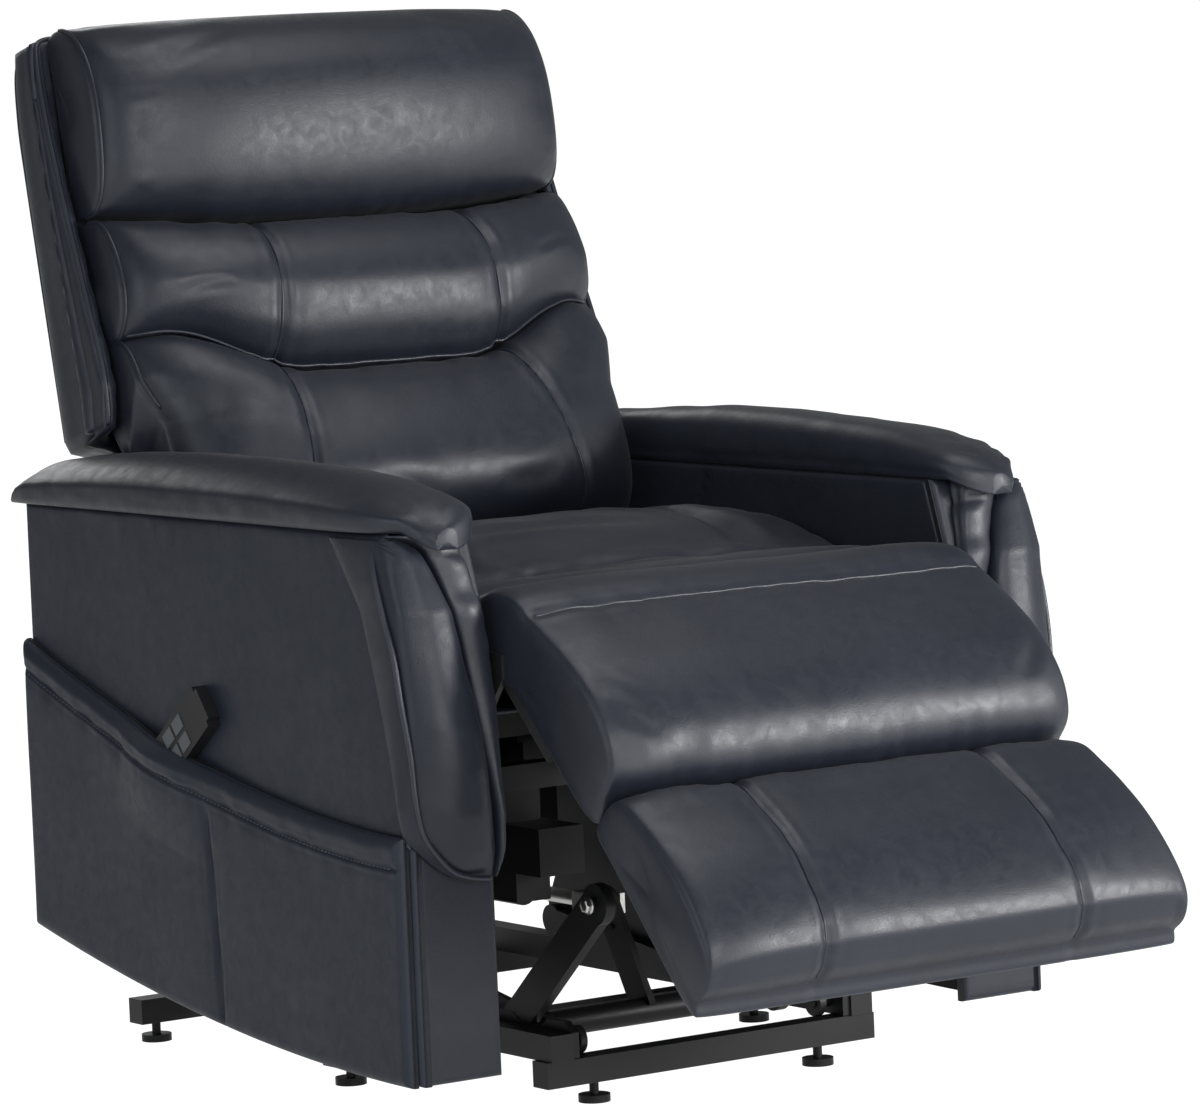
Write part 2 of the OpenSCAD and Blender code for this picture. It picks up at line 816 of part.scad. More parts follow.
// tongue of the pad that runs down the inner part of the arm front
module arm_strip() {
    low = 262;
    high = arm_height - 2;
    zs = front_steps(low, high, 9, 3);
    loft([for (z = zs)
        let (
            u = (z - low) / (high - low),
            b = seat_half + 3 + 51 * u,
            a = seat_half + seat_gap,
            w = b - a,
            y0 = front_y(z) - seat_gap,
            t = lookup(z, [[262, 8], [290, 24], [330, 30], [400, 24], [498, 17], [560, 22], [618, 38]])
        ) [[a, y0, z], [b, y0, z], [b, y0 - t * 0.5, z], [b - 0.14 * w, y0 - t * 0.9, z],
            [a + w / 2, y0 - t, z], [a + 0.1 * w, y0 - t * 0.9, z], [a, y0 - t * 0.5, z]]]);
}

module arm_strip_left() {
    place(leather)
        arm_strip();
}

module arm_strip_right() {
    place(leather)
        mirror([1, 0, 0])
            arm_strip();
}

valance_low = lift_line + 40;

module rear_valance() {
    place(leather)
        box([-seat_half, arm_depth - 12, valance_low], [seat_half, arm_depth, 288]);
}

// power socket on the rear valance
module power_inlet() {
    place(plastic)
        difference() {
            box([150, arm_depth, 232], [206, arm_depth + 14, 268]);
            box([160, arm_depth + 3, 240], [196, arm_depth + 15, 260]);
        }
}

// ---- back ----
module back_side(outline, x0, t) {
    side_plate([for (p = outline) back_pt(p)], x0, t);
}

ear_in = chassis_x - 24;
ear_t = 12;

module back_frame() {
    board = [[cushion_back + 2, -10], [cushion_back + 26, -10], [cushion_back + 26, shell_low - 7],
        [cushion_back + 2, shell_low - 7]];
    ear = [[-18, -18], [16, -18], [cushion_back + 12, 14], [cushion_back + 12, 196], [-10, 196],
        [-18, 120]];
    place(wood) {
        back_side(board, -ear_in - ear_t, 2 * (ear_in + ear_t));
        both_sides()
            difference() {
                back_side(ear, ear_in, ear_t);
                rod_x(back_hinge, ear_in - 1, ear_in + 20, pin_d + 2 * running);
            }
    }
    place(steel) {
        slotted_lever(back_hinge, -90 + back_swing, 0, back_crank_h - 1,
            back_crank_h / cos(back_swing) + 1, -drive_x);
        back_side([[-14, -24], [cushion_back + 12, -6], [cushion_back + 12, 44], [-6, 44], [-14, 6]],
            -drive_x - 3, 6);
    }
}

// ring of the back shell at height w: half width h, front face at f, top rounding t
function shell_ring(w, h, f, t) = [
    for (q = [[h - 14, f], [h - 3, f + 8], [h, f + 20],
        [h - 4, shell_back - 14 - t], [h - 20, shell_back - 4 - t], [h - 60, shell_back - t],
        [-h + 60, shell_back - t], [-h + 20, shell_back - 4 - t], [-h + 4, shell_back - 14 - t],
        [-h, f + 20], [-h + 3, f + 8], [-h + 14, f]])
        let (r = back_pt([q[1], w])) [q[0], r[0], r[1]]
];

module back_shell() {
    low_half = seat_half - 14;
    foot_half = chassis_x - 11;
    low_front = cushion_back + 27;
    upper = [for (i = [0 : 8]) let (u = i / 8)
        shell_ring(shell_low + (shell_high - shell_low) * u,
            shell_half - 16 * u - 10 * pow(u, 8), shell_front, top_round * pow(u, 6))];
    place(leather)
        loft(concat([shell_ring(20, foot_half, low_front, 4), shell_ring(128, foot_half, low_front, 0),
            shell_ring(134, low_half, low_front, 0), shell_ring(shell_low - 6, low_half, low_front, 0)],
            upper));
}

module head_cushion() {
    place(leather)
        loft(cushion_rings(head_mid, head_edge, seat_half - 4, 0, 0.2, "back"));
}

module middle_cushion() {
    place(leather)
        loft(cushion_rings(middle_mid, middle_edge, seat_half - 4, 0.34, 0.2, "back"));
}

module lower_cushion() {
    place(leather)
        loft(cushion_rings(lower_mid, lower_edge, seat_half - 6, 0.2, 0.2, "back"));
}

// ---- leg rest ----
module leg_side(outline, x0, t) {
    side_plate([for (p = outline) leg_pt(p)], x0, t);
}

leg_half = seat_half - 30;
leg_pin_in = seat_half - 19;
bolster_half = leg_pin_in - 1;
pad_half = seat_half + 2;
// point on the drive lever in leg rest directions: reach from the hinge, side step to the board
function lever_pt(reach, step) = let (turn = -90 + leg_mid - leg_drop)
    [-reach * cos(turn) - step * sin(turn), reach * sin(turn) - step * cos(turn)];

module leg_board() {
    board = [[64, -16], [leg_length - 8, -16], [leg_length - 8, -seat_gap], [64, -seat_gap]];
    ear = [[-14, -14], [8, -16], [120, -16], [120, -seat_gap], [60, 10], [-8, 16], [-16, 8]];
    place(wood)
        leg_side(board, -leg_half, 2 * leg_half);
    place(steel) {
        both_sides() {
            difference() {
                leg_side(ear, seat_half - 16, 6);
                rod_x(leg_hinge, seat_half - 18, seat_half - 8, pin_d + 2 * running);
            }
            leg_side([[84, -13], [116, -13], [116, -3], [84, -3]], leg_half - 6, seat_half - 7 - leg_half);
        }
        slotted_lever(leg_hinge, -90 + leg_mid, nose_r + 16, leg_crank_h - 1,
            leg_crank_h / cos(leg_swing) + 1, drive_x);
        leg_side([[68, -8], [190, -8], lever_pt(140, 15.5), lever_pt(112, 15.5), lever_pt(98, -8)],
            drive_x - 3, 6);
    }
}

module leg_bolster() {
    place(leather)
        loft(cushion_rings(bolster_mid, bolster_edge, bolster_half, 0, 0, "leg"));
}

module leg_pad() {
    place(leather)
        loft(cushion_rings(pad_mid, pad_edge, pad_half, 0.24, 0, "leg"));
}

// ---- hand control ----
key_rows = [32, 7];
key_cols = [-11, 11];
key_w = 16;
key_h = 20;
key_t = 5;
key_play = 0.3;

module handset_body() {
    place(plastic)
        handset_frame()
            difference() {
                union() {
                    box([-handset_t / 2, -handset_w / 2 + 6, -handset_l / 2],
                        [handset_t / 2, handset_w / 2 - 6, handset_l / 2]);
                    box([-handset_t / 2, -handset_w / 2, -handset_l / 2 + 6],
                        [handset_t / 2, handset_w / 2, handset_l / 2 - 6]);
                }
                for (r = key_rows)
                    for (c = key_cols)
                        box([-handset_t / 2 - 1, c - key_w / 2 - key_play, r - key_h / 2 - key_play],
                            [-handset_t / 2 + 6, c + key_w / 2 + key_play, r + key_h / 2 + key_play]);
            }
}

module handset_key(r, c) {
    place(key_grey)
        handset_frame() {
            box([-handset_t / 2 - 0.8, c - key_w / 2, r - key_h / 2],
                [-handset_t / 2 + key_t - 1, c + key_w / 2, r + key_h / 2]);
        }
}

module button_lift() {
    handset_key(key_rows[0], key_cols[0]);
}

module button_lower() {
    handset_key(key_rows[1], key_cols[0]);
}

module button_recline() {
    handset_key(key_rows[0], key_cols[1]);
}

module button_upright() {
    handset_key(key_rows[1], key_cols[1]);
}

base_rail_left();
base_rail_right();
base_front_tube();
base_middle_tube();
base_rear_tube();
leveling_glides();
pivot_brackets();
lift_drive_motor();
lift_drive_rod();
lift_arms();
front_links();
chassis_rail_left();
chassis_rail_right();
chassis_front_tube();
chassis_rear_tube();
hanger_plates();
leg_hinge_plates();
back_hinge_plates();
seat_board_left();
seat_board_right();
seat_front_board();
seat_rear_board();
seat_springs();
seat_cushion();
leg_drive_motor();
leg_drive_rod();
back_drive_motor();
back_drive_rod();
side_panel_left();
side_panel_right();
side_pocket();
inner_panel_left();
inner_panel_right();
front_panel_left();
front_panel_right();
rear_panel_left();
rear_panel_right();
arm_top_left();
arm_top_right();
arm_pad_left();
arm_pad_right();
arm_bumper_left();
arm_bumper_right();
arm_strip_left();
arm_strip_right();
rear_valance();
power_inlet();
back_frame();
back_shell();
head_cushion();
middle_cushion();
lower_cushion();
leg_board();
leg_bolster();
leg_pad();
handset_body();
button_lift();
button_lower();
button_recline();
button_upright();
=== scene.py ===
import math

import bpy
import numpy as np
from mathutils import Matrix, Vector


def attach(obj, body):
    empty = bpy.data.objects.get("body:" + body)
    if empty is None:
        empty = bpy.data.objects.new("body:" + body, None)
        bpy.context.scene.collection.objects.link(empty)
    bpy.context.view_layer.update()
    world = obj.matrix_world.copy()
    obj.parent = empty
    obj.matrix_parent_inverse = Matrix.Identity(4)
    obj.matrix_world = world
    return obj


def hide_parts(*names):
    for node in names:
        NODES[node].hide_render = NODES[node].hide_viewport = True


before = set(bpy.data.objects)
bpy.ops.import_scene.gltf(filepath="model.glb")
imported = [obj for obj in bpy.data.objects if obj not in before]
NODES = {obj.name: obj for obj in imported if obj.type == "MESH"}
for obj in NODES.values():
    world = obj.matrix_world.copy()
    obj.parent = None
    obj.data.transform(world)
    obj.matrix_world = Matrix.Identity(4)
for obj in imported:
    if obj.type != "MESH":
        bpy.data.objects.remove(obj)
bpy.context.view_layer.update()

# ---- sizes shared with the part's source, millimetres, floor at z 0 ----
Y_MID = 253.33700364395094  # the source's y that the frame has at 0
HALF = 408.0  # centre to the outer face of the left arm
RIGHT_OUT = 402.0  # centre to the side panel that carries the pocket
SEAT_HALF = 300.0  # centre to the inner face of an arm
PANEL = 14.0  # thickness of a padded arm panel
ARM_H = 620.0  # top of the arm boards
ARM_D = 762.0  # depth of the arms
LEAN_FROM = 540.0  # above this height the arm fronts lean back
FRONT_LEAN = 26.0  # how far they lean by the arm boards
BACK_HINGE = (620.0, 330.0)
BACK_LEAN = math.radians(14.2)
LEG_HINGE = (-13.7, 480.4)
LEG_DROP = math.radians(44.5)
LEG_L = 462.0  # hinge to the foot end of the leg rest
LEG_SPLIT = 220.0  # hinge to the fold between its two cushions
BACK_L = 834.0  # hinge to the top of the head roll
SPLIT_LOW = 408.0  # hinge to the fold under the middle roll
SPLIT_HIGH = 612.0  # hinge to the fold under the head roll
CUSHION_BACK = 18.0  # back plane of the back cushions
SHELL_BACK = 85.0  # rear face of the back shell


def nat(a):
    """Part millimetres to the frame's metres."""
    return (np.asarray(a, float) - [0.0, Y_MID, 0.0]) / 1000.0


def back_pt(p, w):
    c, s = math.cos(BACK_LEAN), math.sin(BACK_LEAN)
    return BACK_HINGE[0] + p * c + w * s, BACK_HINGE[1] - p * s + w * c


def leg_pt(p, w):
    c, s = math.cos(LEG_DROP), math.sin(LEG_DROP)
    return LEG_HINGE[0] - p * c - w * s, LEG_HINGE[1] - p * s + w * c


def sill(y):
    """Lower edge of the arms."""
    return 55.0 + 94.0 * np.power(np.clip(y, 0, None) / ARM_D, 1.9)


def hem(y):
    """Upper edge of the side pocket."""
    return 312.0 + 158.0 * np.power(np.clip(y, 0, None) / ARM_D, 1.8)


def front_y(z):
    """Front face of the arms, which leans back near its top."""
    return FRONT_LEAN * np.clip(np.asarray(z, float) - LEAN_FROM, 0, None) / (ARM_H - LEAN_FROM)


# ---- noise and curves ----
def lattice(seed):
    return np.random.default_rng(seed).random((64, 64)) * 2 - 1


LATTICES = [lattice(s) for s in range(11, 19)]


def noise(x, y, which=0):
    """Smooth noise from -1 to 1."""
    t = LATTICES[which % 8]
    x, y = np.asarray(x, float), np.asarray(y, float)
    xi, yi = np.floor(x).astype(int), np.floor(y).astype(int)
    fx, fy = x - xi, y - yi
    fx, fy = fx * fx * (3 - 2 * fx), fy * fy * (3 - 2 * fy)
    a, b = t[xi % 64, yi % 64], t[(xi + 1) % 64, yi % 64]
    c, d = t[xi % 64, (yi + 1) % 64], t[(xi + 1) % 64, (yi + 1) % 64]
    return (a * (1 - fx) + b * fx) * (1 - fy) + (c * (1 - fx) + d * fx) * fy


def catmull(p, closed, per=12):
    """Smooth curve through points, with per steps between two of them."""
    p = np.asarray(p, float)
    if closed:
        q = np.vstack([p[-1:], p, p[:2]])
        spans = len(p)
    else:
        q = np.vstack([2 * p[:1] - p[1:2], p, 2 * p[-1:] - p[-2:-1]])
        spans = len(p) - 1
    t = np.linspace(0, 1, per, endpoint=False)[:, None]
    out = []
    for i in range(spans):
        a, b, c, d = q[i], q[i + 1], q[i + 2], q[i + 3]
        square, cube = 2 * a - 5 * b + 4 * c - d, 3 * b - a - 3 * c + d
        out.append(0.5 * (2 * b + (c - a) * t + square * t ** 2 + cube * t ** 3))
    if not closed:
        out.append(p[-1:])
    return np.vstack(out)


def along(p, closed):
    """Way travelled along a line of points."""
    q = np.vstack([p, p[:1]]) if closed else p
    return np.r_[0, np.cumsum(np.linalg.norm(np.diff(q, axis=0), axis=1))]


def sample(p, n, closed, extra=None, per=12):
    """Points spread evenly along a smooth curve; extra outlines follow the same parameter."""
    dense = catmull(p, closed, per)
    d = along(dense, closed)
    s = np.linspace(0, d[-1], n, endpoint=not closed)
    res = []
    for src in [dense] + [catmull(e, closed, per) for e in (extra or [])]:
        q = np.vstack([src, src[:1]]) if closed else src
        res.append(np.stack([np.interp(s, d, q[:, k]) for k in range(q.shape[1])], 1))
    return res if extra else res[0]


# ---- mesh building ----
def make(name, verts, faces, mat, smooth=True):
    """Mesh object from points in part millimetres."""
    me = bpy.data.meshes.new(name)
    me.from_pydata(nat(verts).tolist(), [], [list(map(int, f)) for f in faces])
    me.validate(verbose=False)
    if smooth:
        me.polygons.foreach_set("use_smooth", [True] * len(me.polygons))
    me.materials.append(mat)
    me.update()
    ob = bpy.data.objects.new(name, me)
    bpy.context.scene.collection.objects.link(ob)
    return ob


def grid_faces(m, n, wrap):
    """Faces of a grid of m rows of n points; wrap closes each row to a ring."""
    i, j = np.meshgrid(np.arange(m - 1), np.arange(n if wrap else n - 1), indexing="ij")
    a = i * n + j
    b = i * n + (j + 1) % n
    return np.stack([a, b, b + n, a + n], -1).reshape(-1, 4)


def ring_normals(g):
    """Unit normals of a stack of rings, pointing away from the rings' centres."""
    n = np.cross(np.gradient(g, axis=0), np.roll(g, -1, 1) - np.roll(g, 1, 1))
    n /= np.linalg.norm(n, axis=2, keepdims=True) + 1e-9
    return -n if (n * (g - g.mean(1, keepdims=True))).sum(2).mean() < 0 else n


def closed_skin(name, g, mat):
    """Closes a stack of rings with a point at each end and turns its faces outward."""
    m, n = g.shape[:2]
    v = np.vstack([g.reshape(-1, 3), g[0].mean(0)[None], g[-1].mean(0)[None]])
    f = [list(q) for q in grid_faces(m, n, True)]
    f += [[m * n, (j + 1) % n, j] for j in range(n)]
    f += [[m * n + 1, (m - 1) * n + j, (m - 1) * n + (j + 1) % n] for j in range(n)]
    return outward(make(name, v, f, mat))


def outward(ob):
    """Turns the faces outward by the sign of the closed volume."""
    me = ob.data
    me.calc_loop_triangles()
    co = np.array([v.co for v in me.vertices])
    t = np.array([x.vertices[:] for x in me.loop_triangles])
    vol = np.einsum("ij,ij->i", co[t[:, 0]], np.cross(co[t[:, 1]], co[t[:, 2]])).sum()
    if vol < 0:
        me.flip_normals()
    return ob


def finish_piece(ob, body, nodes=()):
    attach(ob, body)
    if nodes:
        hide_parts(*nodes)
    return ob


def tube(name, path, r, mat, n=10):
    """Round cord such as piping along a path in part millimetres, thinner at its two ends."""
    p = np.asarray(path, float)
    t = np.gradient(p, axis=0)
    t /= np.linalg.norm(t, axis=1, keepdims=True) + 1e-9
    ref = np.array([1.0, 0, 0]) if abs(t[:, 0]).mean() < 0.8 else np.array([0, 0, 1.0])
    u = np.cross(t, ref)
    u /= np.linalg.norm(u, axis=1, keepdims=True) + 1e-9
    w = np.cross(t, u)
    a = np.linspace(0, 2 * math.pi, n, endpoint=False)
    rr = np.full(len(p), r)
    rr[0] = rr[-1] = r * 0.45
    across = np.cos(a)[None, :, None] * u[:, None] + np.sin(a)[None, :, None] * w[:, None]
    return closed_skin(name, p[:, None] + rr[:, None, None] * across, mat)


STITCH_RINGS = [(0, -0.5, 0.3), (0.15, 0.1, 0.9), (0.5, 0.45, 1), (0.85, 0.1, 0.9), (1, -0.5, 0.3)]


def stitches(name, paths, mat, out, step=7.0, length=4.6, r=0.55, ring=6):
    """Row of raised thread stitches along paths; out is the outward direction.
    STITCH_RINGS has each ring's place along the stitch, its lift and its radius."""
    vs, fs, base = [], [], 0
    a = np.linspace(0, 2 * math.pi, ring, endpoint=False)
    for path in paths:
        p = np.asarray(path, float)
        d = along(p, False)
        for s in np.arange(step / 2, d[-1] - step / 2, step):
            ends = [np.array([np.interp(s + k * length / 2, d, p[:, c]) for c in range(3)]) for k in (-1, 1)]
            t = ends[1] - ends[0]
            t /= np.linalg.norm(t) + 1e-9
            o = np.asarray(out, float)
            o = o - t * o.dot(t)
            o /= np.linalg.norm(o) + 1e-9
            w = np.cross(t, o)
            rows = []
            for f, lift, rad in STITCH_RINGS:
                c = ends[0] + (ends[1] - ends[0]) * f + o * lift * r
                rows.append(c + r * rad * (np.cos(a)[:, None] * o + 1.5 * np.sin(a)[:, None] * w))
            g = np.array(rows)
            vs.append(g.reshape(-1, 3))
            fs += [[base + int(x) for x in q] for q in grid_faces(5, ring, True)]
            fs += [[base + j for j in range(ring)][::-1], [base + 4 * ring + j for j in range(ring)]]
            base += 5 * ring
    return make(name, np.vstack(vs), fs, mat)


# ---- materials ----
def material(name):
    """New node material with its tree and its surface node."""
    m = bpy.data.materials.new(name)
    m.use_nodes = True
    t = m.node_tree
    return m, t, t.nodes["Principled BSDF"]


def node(t, kind, **values):
    """Node whose inputs or settings take the given values."""
    n = t.nodes.new(kind)
    for k, v in values.items():
        if k in n.inputs:
            n.inputs[k].default_value = v
        else:
            setattr(n, k, v)
    return n


def ramp(t, source, stops):
    """Colour ramp on a value, by (position, colour) stops."""
    r = node(t, "ShaderNodeValToRGB")
    e = r.color_ramp.elements
    while len(e) < len(stops):
        e.new(0.5)
    for el, (pos, col) in zip(e, stops):
        el.position = pos
        el.color = (*col, 1) if len(col) == 3 else col
    t.links.new(source, r.inputs["Fac"])
    return r


def wire(t, *pairs):
    for source, target in pairs:
        t.links.new(source, target)


def texture(t, kind, co, **values):
    n = node(t, f"ShaderNodeTex{kind}", **values)
    wire(t, (co, n.inputs["Vector"]))
    return n


def mapped(t, value, to, within=(0.0, 1.0)):
    """The value spread from one range to another."""
    r = node(t, "ShaderNodeMapRange", **{"From Min": within[0], "From Max": within[1], "To Min": to[0],
                                         "To Max": to[1]})
    wire(t, (value, r.inputs["Value"]))
    return r.outputs["Result"]


def bumped(t, height, strength, distance, under=None, invert=False):
    n = node(t, "ShaderNodeBump", Strength=strength, Distance=distance, invert=invert)
    wire(t, (height, n.inputs["Height"]))
    if under is not None:
        wire(t, (under, n.inputs["Normal"]))
    return n.outputs["Normal"]


def edges_worn_and_highlit(t, tone, stops, amount, colour):
    """Lighter colour along sharp edges: partly rubbed wear, partly a painted highlight where the edges catch
    the light.
    """
    geo = node(t, "ShaderNodeNewGeometry")
    edge = ramp(t, geo.outputs["Pointiness"], [(stops[0], (0, 0, 0)), (stops[1], (amount,) * 3)])
    mix = node(t, "ShaderNodeMix", data_type="RGBA")
    mix.inputs["B"].default_value = tuple(min(1, c) for c in colour) + (1,)
    wire(t, (edge.outputs["Color"], mix.inputs["Factor"]), (tone.outputs["Color"], mix.inputs["A"]))
    return mix.outputs["Result"]


def leather(name, base, light, rough=(0.36, 0.5), grain=1.0, wear_and_highlight_amount=0.25, shine=0.5):
    """Corrected-grain leather: pebbled cells with painted shade in the grooves between them, fine pores,
    soft colour drift, and lighter sharp edges that are part rubbed wear, part painted highlight.
    """
    m, t, b = material(name)
    co = node(t, "ShaderNodeTexCoord").outputs["Object"]
    drift = texture(t, "Noise", co, Scale=7.0, Detail=4.0, Roughness=0.55)
    fine = texture(t, "Noise", co, Scale=420.0, Detail=3.0, Roughness=0.6)
    cells = texture(t, "Voronoi", co, Scale=760.0, feature="SMOOTH_F1")
    wrinkle = texture(t, "Noise", co, Scale=60.0, Detail=5.0, Roughness=0.62, Distortion=0.6)
    tone = ramp(t, drift.outputs["Fac"], [(0.3, base), (0.72, light)])
    # lighter sharp edges: part rubbed wear, part painted highlight on the crests
    rubbed_and_highlit = edges_worn_and_highlit(t, tone, (0.5, 0.58), wear_and_highlight_amount, [c * 2.2 for c in light])
    # painted shade: the colour darkens towards the cell borders, the grooves of the pebbled grain
    groove_shade = ramp(t, cells.outputs["Distance"], [(0.0, (1, 1, 1)), (0.75, (0.72, 0.72, 0.74))])
    grain_shaded = node(t, "ShaderNodeMix", data_type="RGBA", blend_type="MULTIPLY")
    grain_shaded.inputs["Factor"].default_value = 0.55
    soft = bumped(t, wrinkle.outputs["Fac"], 0.10 * grain, 0.0025)
    soft = bumped(t, fine.outputs["Fac"], 0.12 * grain, 0.0004, soft)
    soft = bumped(t, cells.outputs["Distance"], 0.22 * grain, 0.0005, soft, invert=True)
    wire(t, (rubbed_and_highlit, grain_shaded.inputs["A"]), (groove_shade.outputs["Color"], grain_shaded.inputs["B"]),
         (grain_shaded.outputs["Result"], b.inputs["Base Color"]), (soft, b.inputs["Normal"]),
         (mapped(t, wrinkle.outputs["Fac"], rough, (0.3, 0.7)), b.inputs["Roughness"]))
    b.inputs["Specular IOR Level"].default_value = shine
    b.inputs["Sheen Weight"].default_value = 0.03
    b.inputs["Sheen Roughness"].default_value = 0.4
    return m


def painted(name, col, rough, bump=0.15, scale=900.0, metal=0.0, shine=0.5):
    """Powder coat, moulded plastic or plated steel by its colour, gloss and fine surface."""
    m, t, b = material(name)
    co = node(t, "ShaderNodeTexCoord").outputs["Object"]
    fine = texture(t, "Noise", co, Scale=scale, Detail=3.0, Roughness=0.6)
    drift = texture(t, "Noise", co, Scale=14.0, Detail=5.0, Roughness=0.6)
    pale = tuple(min(1, c * 1.24) for c in col)
    tone = ramp(t, drift.outputs["Fac"], [(0.35, tuple(c * 0.88 for c in col)), (0.7, pale)])
    # lighter sharp edges: part rubbed wear, part painted highlight
    rubbed_and_highlit = edges_worn_and_highlit(t, tone, (0.52, 0.62), 0.22, [c * 1.8 + 0.02 for c in col])
    wire(t, (rubbed_and_highlit, b.inputs["Base Color"]),
         (mapped(t, drift.outputs["Fac"], (rough - 0.07, rough + 0.1)), b.inputs["Roughness"]),
         (bumped(t, fine.outputs["Fac"], bump, 0.0003), b.inputs["Normal"]))
    b.inputs["Metallic"].default_value = metal
    b.inputs["Specular IOR Level"].default_value = shine
    return m


def plywood(name):
    """Dark board with a long grain."""
    m, t, b = material(name)
    mp = node(t, "ShaderNodeMapping")
    mp.inputs["Scale"].default_value = (3.0, 40.0, 90.0)
    wire(t, (node(t, "ShaderNodeTexCoord").outputs["Object"], mp.inputs["Vector"]))
    n = texture(t, "Noise", mp.outputs["Vector"], Scale=2.2, Detail=8.0, Roughness=0.65, Distortion=1.2)
    tone = ramp(t, n.outputs["Fac"], [(0.3, (0.012, 0.011, 0.0105)), (0.7, (0.022, 0.02, 0.018))])
    wire(t, (tone.outputs["Color"], b.inputs["Base Color"]),
         (bumped(t, n.outputs["Fac"], 0.2, 0.0005), b.inputs["Normal"]),
         (mapped(t, n.outputs["Fac"], (0.55, 0.8)), b.inputs["Roughness"]))
    return m


NAVY = (0.0108, 0.0138, 0.0222)
NAVY_LIGHT = (0.0148, 0.0186, 0.029)
M_LEATHER = leather("navy_leather", NAVY, NAVY_LIGHT)
M_PIPING = leather("navy_piping", NAVY, NAVY_LIGHT, rough=(0.32, 0.42), grain=0.7, wear_and_highlight_amount=0.25)
M_SIDE = leather("navy_side_leather", (0.0125, 0.0172, 0.0285), (0.0165, 0.0222, 0.0355), rough=(0.42, 0.55),
                 shine=0.34)
M_ROLL = leather("navy_roll_leather", NAVY, NAVY_LIGHT, rough=(0.38, 0.5), shine=0.38)
M_THREAD = painted("navy_thread", (0.03, 0.035, 0.05), 0.6, scale=1500.0)
M_STEEL = painted("black_powder_coat", (0.009, 0.009, 0.0098), 0.42, shine=0.34)
M_BRIGHT = painted("zinc_plate", (0.62, 0.62, 0.6), 0.3, bump=0.08, metal=1.0)
M_PLASTIC = painted("black_plastic", (0.009, 0.009, 0.01), 0.36, bump=0.3, scale=1400.0, shine=0.25)
M_RUBBER = painted("black_rubber", (0.011, 0.011, 0.011), 0.7, bump=0.4, scale=700.0)
M_KEY = painted("grey_keys", (0.07, 0.076, 0.08), 0.5, bump=0.2, scale=1200.0)
M_BOARD = plywood("dark_plywood")
M_LINING = painted("dust_cloth", (0.01, 0.01, 0.011), 0.9, bump=0.8, scale=2200.0)


# ---- cushions ----
def fullness(u, p):
    """Crown across a cushion: 0 at its ends and 1 in its middle."""
    return np.sqrt(np.clip(1 - np.abs(u) ** p, 0, None))


def end_clustered(w, n):
    """Places across a width, closer together near its ends."""
    a = np.linspace(-1, 1, n)
    return w * np.sign(a) * (1 - (1 - np.abs(a)) ** 1.35)


GRIDS = {}  # the skin, x places and outline of each cushion, for the welts that follow it
CAP_BULGE = 10.0  # how far a cushion's end cap swells
CAP_STEPS = (0.985, 0.955, 0.9, 0.8, 0.62, 0.4, 0.18)


def cushion(name, mid, edge, w, place, detail, mat, nx=150, npf=190, narrow=None, spread=None, power=3.2):
    """Crowned cushion: an outline that swells from the edge shape to the middle shape across its width.
    detail(x, p, q) gives how far each point moves outward, and fades at the ends, which are capped."""
    m, e = sample(mid, npf, True, extra=[edge])
    xs = end_clustered(w, nx)
    ring = e[None] + (m - e)[None] * fullness(xs / w, power)[:, None, None]
    X = np.repeat(xs[:, None], npf, 1)
    if narrow is not None:
        X = X * narrow(ring[..., 1])
    if spread is not None:
        X = X * spread(ring[..., 0])
    g = np.stack([X, *place(ring[..., 0], ring[..., 1], X)], -1)
    d = detail(X, ring[..., 0], ring[..., 1]) * np.clip((w - np.abs(xs)) / 14, 0, 1)[:, None]
    g = g + ring_normals(g) * d[..., None]
    caps = []
    for end, sign in ((0, -1), (-1, 1)):
        r = g[end]
        rows = []
        for k in CAP_STEPS:
            q = r.mean(0) + (r - r.mean(0)) * k
            q[:, 0] = r[:, 0] + sign * 0.5 * CAP_BULGE * math.sqrt(max(0, 1 - k ** 4))
            rows.append(q)
        caps.append(rows)
    GRIDS[name] = (g, X, ring)
    return closed_skin(name, np.concatenate([np.array(caps[0][::-1]), g, np.array(caps[1])], 0), mat)


def seam_path(name, x_of, keep):
    """Line over a cushion's skin where x equals x_of(p, w), for the ring points that keep(p, w) takes."""
    g, X, ring = GRIDS[name]
    path = []
    for j in range(g.shape[1]):
        p, w = ring[len(ring) // 2, j]
        if keep(p, w):
            path.append([np.interp(x_of(p, w), X[:, j], g[:, j, k]) for k in range(3)])
    return np.array(path)


def ring_path(name, p, w, x0, x1):
    """Line across a cushion's skin along the ring point nearest to (p, w)."""
    g, X, ring = GRIDS[name]
    j = int(np.argmin(((ring[len(ring) // 2] - [p, w]) ** 2).sum(1)))
    cols = (X[:, j] > x0) & (X[:, j] < x1)
    return g[cols, j]


def inset(mid, k, gap, back=CUSHION_BACK):
    """End outline of a cushion: its middle outline drawn towards its own back and centre."""
    m = np.array(mid, float)
    lo, hi = m[:, 1].min(), m[:, 1].max()
    c = (lo + hi) / 2
    m[:, 0] = back + (m[:, 0] - back) * k
    m[:, 1] = c + (m[:, 1] - c) * (1 - 2 * gap / (hi - lo))
    return [tuple(v) for v in m]


def seam(dist, depth, width):
    """Sewn line: a narrow valley with small lips."""
    a = np.abs(dist)
    return -depth * np.exp(-(a / width) ** 2) - 0.55 * depth * np.exp(-(a / (4.2 * width)) ** 2) \
        + 0.32 * depth * np.exp(-((a - 2.1 * width) / width) ** 2)


def gathers(s, dist, amp, wave, reach, which=0):
    """Short puckers that run away from a seam; s is the way along it."""
    n = noise(s / wave, dist / (reach * 2.2), which)
    n = n + 0.5 * noise(s / wave * 2.3 + 9, dist / reach, which + 1)
    return amp * n * np.exp(-np.abs(dist) / reach)


